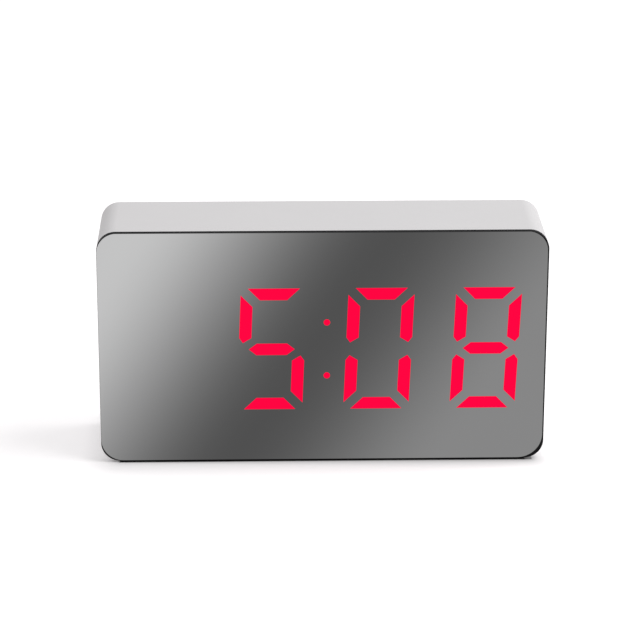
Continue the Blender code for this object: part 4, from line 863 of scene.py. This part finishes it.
class CLOCK_OT_keys(bpy.types.Operator):
    """The four dished buttons, their plungers and switches"""
    bl_idname = "clock.keys"
    bl_label = "Keys"

    def execute(self, context):
        given = context.scene.clock_back
        plastic = moulded("key_plastic", tuple(given.key_colour), 0.4, 0.3 * MM, 0.003 * MM, share=0.008)
        plunger = moulded("plunger_plastic", (0.5, 0.12, 0.05), 0.4, rounding=0.1 * MM)
        switch = moulded("switch_body", (0.03, 0.03, 0.032), 0.45, rounding=0.15 * MM)
        for key in ("mode", "alarm", "up", "down"):
            node = key + "_button"
            low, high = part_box(node)
            middle = (low + high) / 2
            stem_end = low.y + KEY_STEM_LENGTH
            flange_end = stem_end + KEY_FLANGE
            flange_half = ((high.x - low.x) / 2, (high.z - low.z) / 2)
            rows = [(*POLE, low.y), (KEY_STEM, KEY_STEM, KEY_STEM * 0.999, low.y),
                    (KEY_STEM, KEY_STEM, KEY_STEM * 0.999, stem_end),
                    (*flange_half, KEY_ROUND + KEY_FLANGE, stem_end),
                    (*flange_half, KEY_ROUND + KEY_FLANGE, flange_end),
                    (CAP_HALF_WIDTH, CAP_HALF_HEIGHT, KEY_ROUND, flange_end)]
            inset, run = edge_arc(KEY_EDGE, KEY_EDGE, 7, 0, 80)
            rows += [(CAP_HALF_WIDTH - i, CAP_HALF_HEIGHT - i, KEY_ROUND - i, high.y - KEY_EDGE + d)
                     for i, d in zip(inset, run)]
            top = high.y - KEY_EDGE + run[-1]
            dish = [(CAP_HALF_WIDTH - KEY_EDGE, CAP_HALF_HEIGHT - KEY_EDGE, (KEY_ROUND - KEY_EDGE) * 0.98)]
            share = np.linspace(0.92, 0.0, 9)[:, None]
            across = dish * share + POLE
            depth = top - given.key_dish * (1 - share * share)
            rows += [tuple(row) for row in np.hstack([across, depth])]
            rows = [(*row, middle.x, middle.z) for row in rows]
            piece = put_piece(node + "_finished", key + "_key", [shell_grid(loft(rows, 10))], [plastic], 40)
            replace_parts(piece, node)
            smoothed_copy(key + "_plunger", [plunger])
            smoothed_copy(key + "_switch", [switch])
        return {"FINISHED"}


def pan_screw(node, head_end, head_radius, head_height, shaft_radius):
    """A pan head with a cross recess over a turned shaft.

    The head's face is a dome, height (1 - (r / R)^4), less a cross whose arms are soft-sided slots that
    get shallower towards their ends. head_end is 1 where the head looks to +Y and -1 where it looks to -Y.
    """
    low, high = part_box(node)
    middle = (low + high) / 2
    tip, face = (low.y, high.y) if head_end > 0 else (high.y, low.y)
    length = abs(face - tip)
    shank = length - head_height
    top_radius = head_radius - head_height / 4
    shaft = [(0.0, 0.0), (0.0, shaft_radius * 0.5), (shaft_radius, shaft_radius), (shank, shaft_radius),
             (shank, head_radius), (shank + head_height / 2, head_radius)]
    face_radii = np.linspace(top_radius, 0.0, HEAD_RINGS)
    profile = np.vstack([shaft, np.stack([np.full(HEAD_RINGS, length), face_radii], axis=1)])
    rows = turned(profile, (middle.x, tip, middle.z), (0, head_end, 0), 64)
    face_rows = rows[len(shaft):]
    across = np.abs(face_rows[:, :, 0] - middle.x)
    upward = np.abs(face_rows[:, :, 2] - middle.z)
    near = np.minimum(across, upward)
    far = np.maximum(across, upward)
    arm = head_radius - CROSS_SHORT
    inside = np.clip((CROSS_HALF_WIDTH + CROSS_SOFT - near) / CROSS_SOFT, 0, 1)
    inside = inside * np.clip((arm + CROSS_SOFT - far) / CROSS_SOFT, 0, 1)
    slot = CROSS_DEPTH * inside * (1 - CROSS_SHALLOW * np.clip(far / arm, 0, 1))
    dome = HEAD_DOME * (face_radii / head_radius)[:, None] ** 4
    face_rows[:, :, 1] -= head_end * (slot + dome)
    return rows


class CLOCK_OT_screws(bpy.types.Operator):
    """Ten pan-head screws with cross recesses"""
    bl_idname = "clock.screws"
    bl_label = "Screws"

    def execute(self, context):
        zinc = metal("zinc_screw", (0.58, 0.58, 0.6), 0.3, (1.0, 1.0, 3.0))
        kinds = (("case_screw_", 4, 1, CASE_SCREW), ("board_screw_", 4, 1, BOARD_SCREW),
                 ("key_board_screw_", 2, -1, KEY_BOARD_SCREW))
        for kind, count, way, sizes in kinds:
            for index in range(1, count + 1):
                node = kind + str(index)
                low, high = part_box(node)
                rows = pan_screw(node, way, (high.x - low.x) / 2, *sizes)
                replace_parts(put_piece(node + "_finished", "clock", [shell_grid(rows)], [zinc], 40), node)
        return {"FINISHED"}


class CLOCK_OT_feet(bpy.types.Operator):
    """Four rubber feet with soft edges"""
    bl_idname = "clock.feet"
    bl_label = "Feet"

    def execute(self, context):
        rubber = moulded("foot_rubber", (0.035, 0.035, 0.036), 0.8, 0.25 * MM, 0.02 * MM, share=0.08)
        for index in range(1, 5):
            node = "rubber_foot_%d" % index
            low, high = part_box(node)
            middle = (low + high) / 2
            radius = (high.x - low.x) / 2
            rise, out = edge_arc(FOOT_EDGE, FOOT_EDGE, 5, 0, 90)
            profile = [(0.0, 0.0), *zip(rise, radius - FOOT_EDGE + out)]
            profile += [(high.z - low.z, radius), (high.z - low.z, 0.0)]
            rows = turned(profile, (middle.x, middle.y, low.z), (0, 0, 1))
            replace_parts(put_piece(node + "_finished", "clock", [shell_grid(rows)], [rubber]), node)
        return {"FINISHED"}


SLEEVE, BAND, STEEL, RING = range(4)


class CLOCK_OT_cells(bpy.types.Operator):
    """Three battery cells: sleeve with a pale band, rolled lips, insulating ring and steel ends"""
    bl_idname = "clock.cells"
    bl_label = "Cells"

    def execute(self, context):
        colour = tuple(context.scene.clock_back.sleeve_colour)
        sleeve = moulded("cell_sleeve", colour, 0.3, 0.8 * MM, 0.002 * MM, share=0.05)
        band = moulded("cell_band", (0.62, 0.6, 0.52), 0.3, 0.8 * MM, 0.002 * MM, share=0.03)
        steel = metal("cell_steel", (0.66, 0.65, 0.62), 0.22, (1.0, 4.0, 4.0))
        ring = moulded("cell_ring", (0.5, 0.5, 0.48), 0.6)
        for index, way in ((1, -1), (2, 1), (3, -1)):
            node = "battery_cell_%d" % index
            low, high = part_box(node)
            middle = (low + high) / 2
            length = high.x - low.x
            radius = (high.z - low.z) / 2
            body = length - CELL_BUTTON
            steel_end = radius - CELL_RING
            lip = CELL_LIP / 2
            turn = np.linspace(0, math.pi, 9)
            bead = [(-math.sin(t) * lip, math.cos(t) * lip) for t in turn]
            back_bead = [(lip + x, radius - lip + r, SLEEVE) for x, r in reversed(bead)]
            front_bead = [(body - 0.2 * MM - lip - x, radius - lip + r, SLEEVE) for x, r in bead]
            outline = [(0.15 * MM, 0.0, STEEL), (0.0, steel_end - 0.5 * MM, STEEL), (0.0, steel_end, STEEL),
                       (0.2 * MM, steel_end + 0.1 * MM, RING), *back_bead,
                       (BAND_START * body, radius, BAND), (BAND_END * body, radius, SLEEVE), *front_bead,
                       (body - 0.25 * MM, radius - 1.5 * MM, RING), (body - 0.1 * MM, 2.4 * MM, STEEL),
                       (body, CELL_BUTTON_RADIUS, STEEL), (length - 0.2 * MM, CELL_BUTTON_RADIUS, STEEL),
                       (length, CELL_BUTTON_RADIUS - 0.2 * MM, STEEL), (length, 0.0, STEEL)]
            profile = [(along, out) for along, out, _ in outline]
            slots = [slot for _, _, slot in outline[:-1]]
            start_x = low.x if way > 0 else high.x
            rows = turned(profile, (start_x, middle.y, middle.z), (way, 0, 0), 64)
            piece = put_piece(node + "_finished", "clock", [shell_grid(rows, slots=slots)],
                              [sleeve, band, steel, ring], 40)
            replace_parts(piece, node)
        return {"FINISHED"}


class CLOCK_OT_contacts(bpy.types.Operator):
    """Coil springs, sheet contacts and the four leads"""
    bl_idname = "clock.contacts"
    bl_label = "Contacts"

    def execute(self, context):
        nickel = metal("contact_nickel", (0.74, 0.72, 0.68), 0.22, (1.0, 1.0, 9.0), 0.08 * MM)
        spring_steel = metal("spring_nickel", (0.7, 0.69, 0.66), 0.2, (1.0, 1.0, 1.0))
        for index, way in ((1, -1), (2, 1), (3, -1)):
            node = "battery_spring_%d" % index
            low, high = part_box(node)
            middle = (low + high) / 2
            share = np.linspace(0, 1, 121)
            turn = 2 * math.pi * SPRING_TURNS * share
            radius = SPRING_WIDE + (SPRING_NARROW - SPRING_WIDE) * share
            start = low.x + SPRING_WIRE if way > 0 else high.x - SPRING_WIRE
            run = high.x - low.x - 2 * SPRING_WIRE
            axis = middle_of("battery_cell_%d" % index)
            path = np.stack([start + way * run * share, axis.y + radius * np.cos(turn),
                             axis.z + radius * np.sin(turn)], axis=1)
            if abs(middle.z - axis.z) > 2 * MM:
                raise RuntimeError("a spring is not behind its cell")
            coil = [shell_grid(tube(path, SPRING_WIRE))]
            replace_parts(put_piece(node + "_finished", "clock", coil, [spring_steel], 60), node)
        for node in ("positive_contact", "negative_contact", "left_link_contact", "right_link_contact"):
            smoothed_copy(node, [nickel])
        red = moulded("lead_red", (0.45, 0.012, 0.012), 0.35, 1.2 * MM, 0.01 * MM, share=0.04)
        black = moulded("lead_black", (0.012, 0.012, 0.013), 0.35, 1.2 * MM, 0.01 * MM, share=0.1)
        for lead in ("battery_lead", "sounder_lead"):
            smoothed_copy(lead + "_red", [red], 70)
            smoothed_copy(lead + "_black", [black], 70)
        return {"FINISHED"}


class CLOCK_OT_electronics(bpy.types.Operator):
    """The key board, chip, crystal, capacitor and ribbon"""
    bl_idname = "clock.electronics"
    bl_label = "Electronics"

    def execute(self, context):
        paint("key_board", circuit_board("key_board_mask"))
        paint("controller_chip", moulded("chip_epoxy", (0.015, 0.015, 0.016), 0.55, 0.2 * MM, 0.01 * MM,
                                         rounding=0.1 * MM))
        can = metal("crystal_can", (0.68, 0.68, 0.7), 0.18, (6.0, 1.0, 1.0), 0.1 * MM)
        smoothed_copy("clock_crystal", [can])
        smoothed_copy("smoothing_capacitor", [moulded("capacitor_sleeve", (0.02, 0.045, 0.16), 0.25,
                                                      0.6 * MM, 0.002 * MM, rounding=0.15 * MM)])
        smoothed_copy("ribbon_cable", [ribbon("ribbon_grey", (0.45, 0.45, 0.47), CABLE_PITCH)])
        return {"FINISHED"}


class CLOCK_OT_stage(bpy.types.Operator):
    """The white table with a painted shadow under and round the clock, the room's soft light, the card that
    the mirror sees, and the camera
    """
    bl_idname = "clock.stage"
    bl_label = "Stage"

    def execute(self, context):
        given = context.scene.clock_stage
        scene = context.scene
        scene.view_settings.view_transform = "Standard"
        colour = tuple(given.floor_colour)
        material, tree, shader, place = new_finish("table_white", colour, 0.9)
        white = mottle(tree, shader, place, colour, 0.3, 0.002)
        shader.inputs["Specular IOR Level"].default_value = 0.0
        shader.inputs["Emission Color"].default_value = WARM_WHITE
        # The table's glow is nil under the clock and rises to full over the glow fade distance: a painted
        # shadow round the clock.
        back_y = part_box("rear_cover")[1].y
        flat_end = CAD_HIGH.x - CORNER
        gap = gap_beyond(tree, place, Vector((-flat_end, CAD_LOW.y, 0.0)), Vector((flat_end, back_y, 0.0)))
        share = spread(tree, gap, 0.0, 1.0, 0.0, given.glow_shadow_fade)
        lit = spread(tree, reckon(tree, "POWER", share, GLOW_SHADOW_CURVE), 0.0, given.floor_glow, 0.0, 1.0)
        tree.links.new(lit, shader.inputs["Emission Strength"])
        # Painted contact shadow: the table's base colour darkens to a small share of its white under the
        # clock and runs out round it.
        painted_shadow_gap = gap_beyond(tree, place, Vector((-flat_end - given.painted_shadow_reach[0], CAD_LOW.y, 0.0)),
                          Vector((flat_end + given.painted_shadow_reach[1], back_y, 0.0)))
        along = put_node(tree, "ShaderNodeSeparateXYZ", {"Vector": place}).outputs["X"]
        reach = spread(tree, along, given.painted_shadow_fade[0], given.painted_shadow_fade[1], CAD_LOW.x, CAD_HIGH.x)
        run_out = reckon(tree, "DIVIDE", painted_shadow_gap, reach, clamp=True)
        unshadowed_share = reckon(tree, "POWER", run_out, given.painted_shadow_curve)
        tree.links.new(blend_colours(tree, unshadowed_share, shade(colour, given.painted_shadow_whiteness), white),
                       shader.inputs["Base Color"])
        floor = self.panel("table", TABLE_HALF, TABLE_HALF, lambda u, v: (u, v, 0 * u), material)
        floor.visible_glossy = False
        card_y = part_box("mirror_lens")[0].y - CARD_DISTANCE
        card = self.panel("reflection_card", CARD_HALF_WIDTH, CARD_HALF_HEIGHT,
                          lambda u, v: (u, 0 * u + card_y, v), reflection_card("card_greys", CARD_TONES))
        for sight in ("camera", "diffuse", "transmission", "volume_scatter", "shadow"):
            setattr(card, "visible_" + sight, False)
        world = bpy.data.worlds.new("white_room")
        world.use_nodes = True
        background = world.node_tree.nodes["Background"]
        background.inputs["Color"].default_value = ROOM_WHITE
        background.inputs["Strength"].default_value = given.sky
        scene.world = world
        self.softbox("overhead_softbox", given.key_place, SOFTBOX_AIM, SOFTBOX_SIZE, given.key_power)
        self.camera(scene, given)
        return {"FINISHED"}

    def panel(self, name, half_width, half_height, place, material):
        """A flat panel, place(u, v) over a grid of u and v."""
        u, v = np.meshgrid(np.linspace(-half_width, half_width, 9), np.linspace(-half_height, half_height, 9))
        points = np.stack(place(u, v), axis=-1).reshape(-1, 3)
        mesh = bpy.data.meshes.new(name)
        mesh.from_pydata(points, [], grid_faces(9, 9, close_columns=False))
        mesh.materials.append(material)
        made = bpy.data.objects.new(name, mesh)
        bpy.context.scene.collection.objects.link(made)
        return made

    def softbox(self, name, place, target, size, power):
        """A square lamp that faces its target."""
        lamp = bpy.data.lights.new(name, "AREA")
        lamp.shape = "SQUARE"
        lamp.size = size
        lamp.energy = power
        made = bpy.data.objects.new(name, lamp)
        bpy.context.scene.collection.objects.link(made)
        made.location = place
        made.rotation_euler = (Vector(target) - Vector(place)).to_track_quat("-Z", "Y").to_euler()

    def camera(self, scene, given):
        """The camera: turned, then tilted, then rolled."""
        lens = bpy.data.cameras.new("camera")
        lens.lens = given.camera_lens
        lens.sensor_width = SENSOR_WIDTH
        made = bpy.data.objects.new("camera", lens)
        scene.collection.objects.link(made)
        turn = (Matrix.Rotation(given.camera_turn, 4, "Z") @ Matrix.Rotation(given.camera_tilt, 4, "X")
                @ Matrix.Rotation(given.camera_roll, 4, "Z"))
        made.matrix_world = Matrix.Translation(given.camera_place) @ turn
        scene.camera = made


class CLOCK_PT_panel(bpy.types.Panel):
    """Sizes, colours and build buttons of the clock"""
    bl_idname = "CLOCK_PT_panel"
    bl_label = "Alarm Clock"
    bl_space_type = "VIEW_3D"
    bl_region_type = "UI"
    bl_category = "Alarm Clock"

    def draw(self, context):
        for group in GROUPS:
            box = self.layout.box()
            settings = getattr(context.scene, group)
            for name in settings.__annotations__:
                box.prop(settings, name)
        for operator in OPERATORS:
            self.layout.operator(operator.bl_idname)


GROUPS = {"clock_case": CaseLooks, "clock_mirror": MirrorLooks, "clock_display": DisplayLooks,
          "clock_back": BackLooks, "clock_stage": StageLooks}
OPERATORS = (CLOCK_OT_case, CLOCK_OT_mirror, CLOCK_OT_display, CLOCK_OT_back, CLOCK_OT_keys, CLOCK_OT_screws,
             CLOCK_OT_feet, CLOCK_OT_cells, CLOCK_OT_contacts, CLOCK_OT_electronics, CLOCK_OT_stage)


def register():
    for group in GROUPS.values():
        bpy.utils.register_class(group)
    for name, group in GROUPS.items():
        setattr(bpy.types.Scene, name, PointerProperty(type=group))
    for operator in OPERATORS:
        bpy.utils.register_class(operator)
    bpy.utils.register_class(CLOCK_PT_panel)


def unregister():
    bpy.utils.unregister_class(CLOCK_PT_panel)
    for operator in reversed(OPERATORS):
        bpy.utils.unregister_class(operator)
    for name, group in reversed(GROUPS.items()):
        delattr(bpy.types.Scene, name)
        bpy.utils.unregister_class(group)


def main():
    register()
    for operator in OPERATORS:
        group, name = operator.bl_idname.split(".")
        getattr(getattr(bpy.ops, group), name)()


if __name__ == "__main__":
    main()
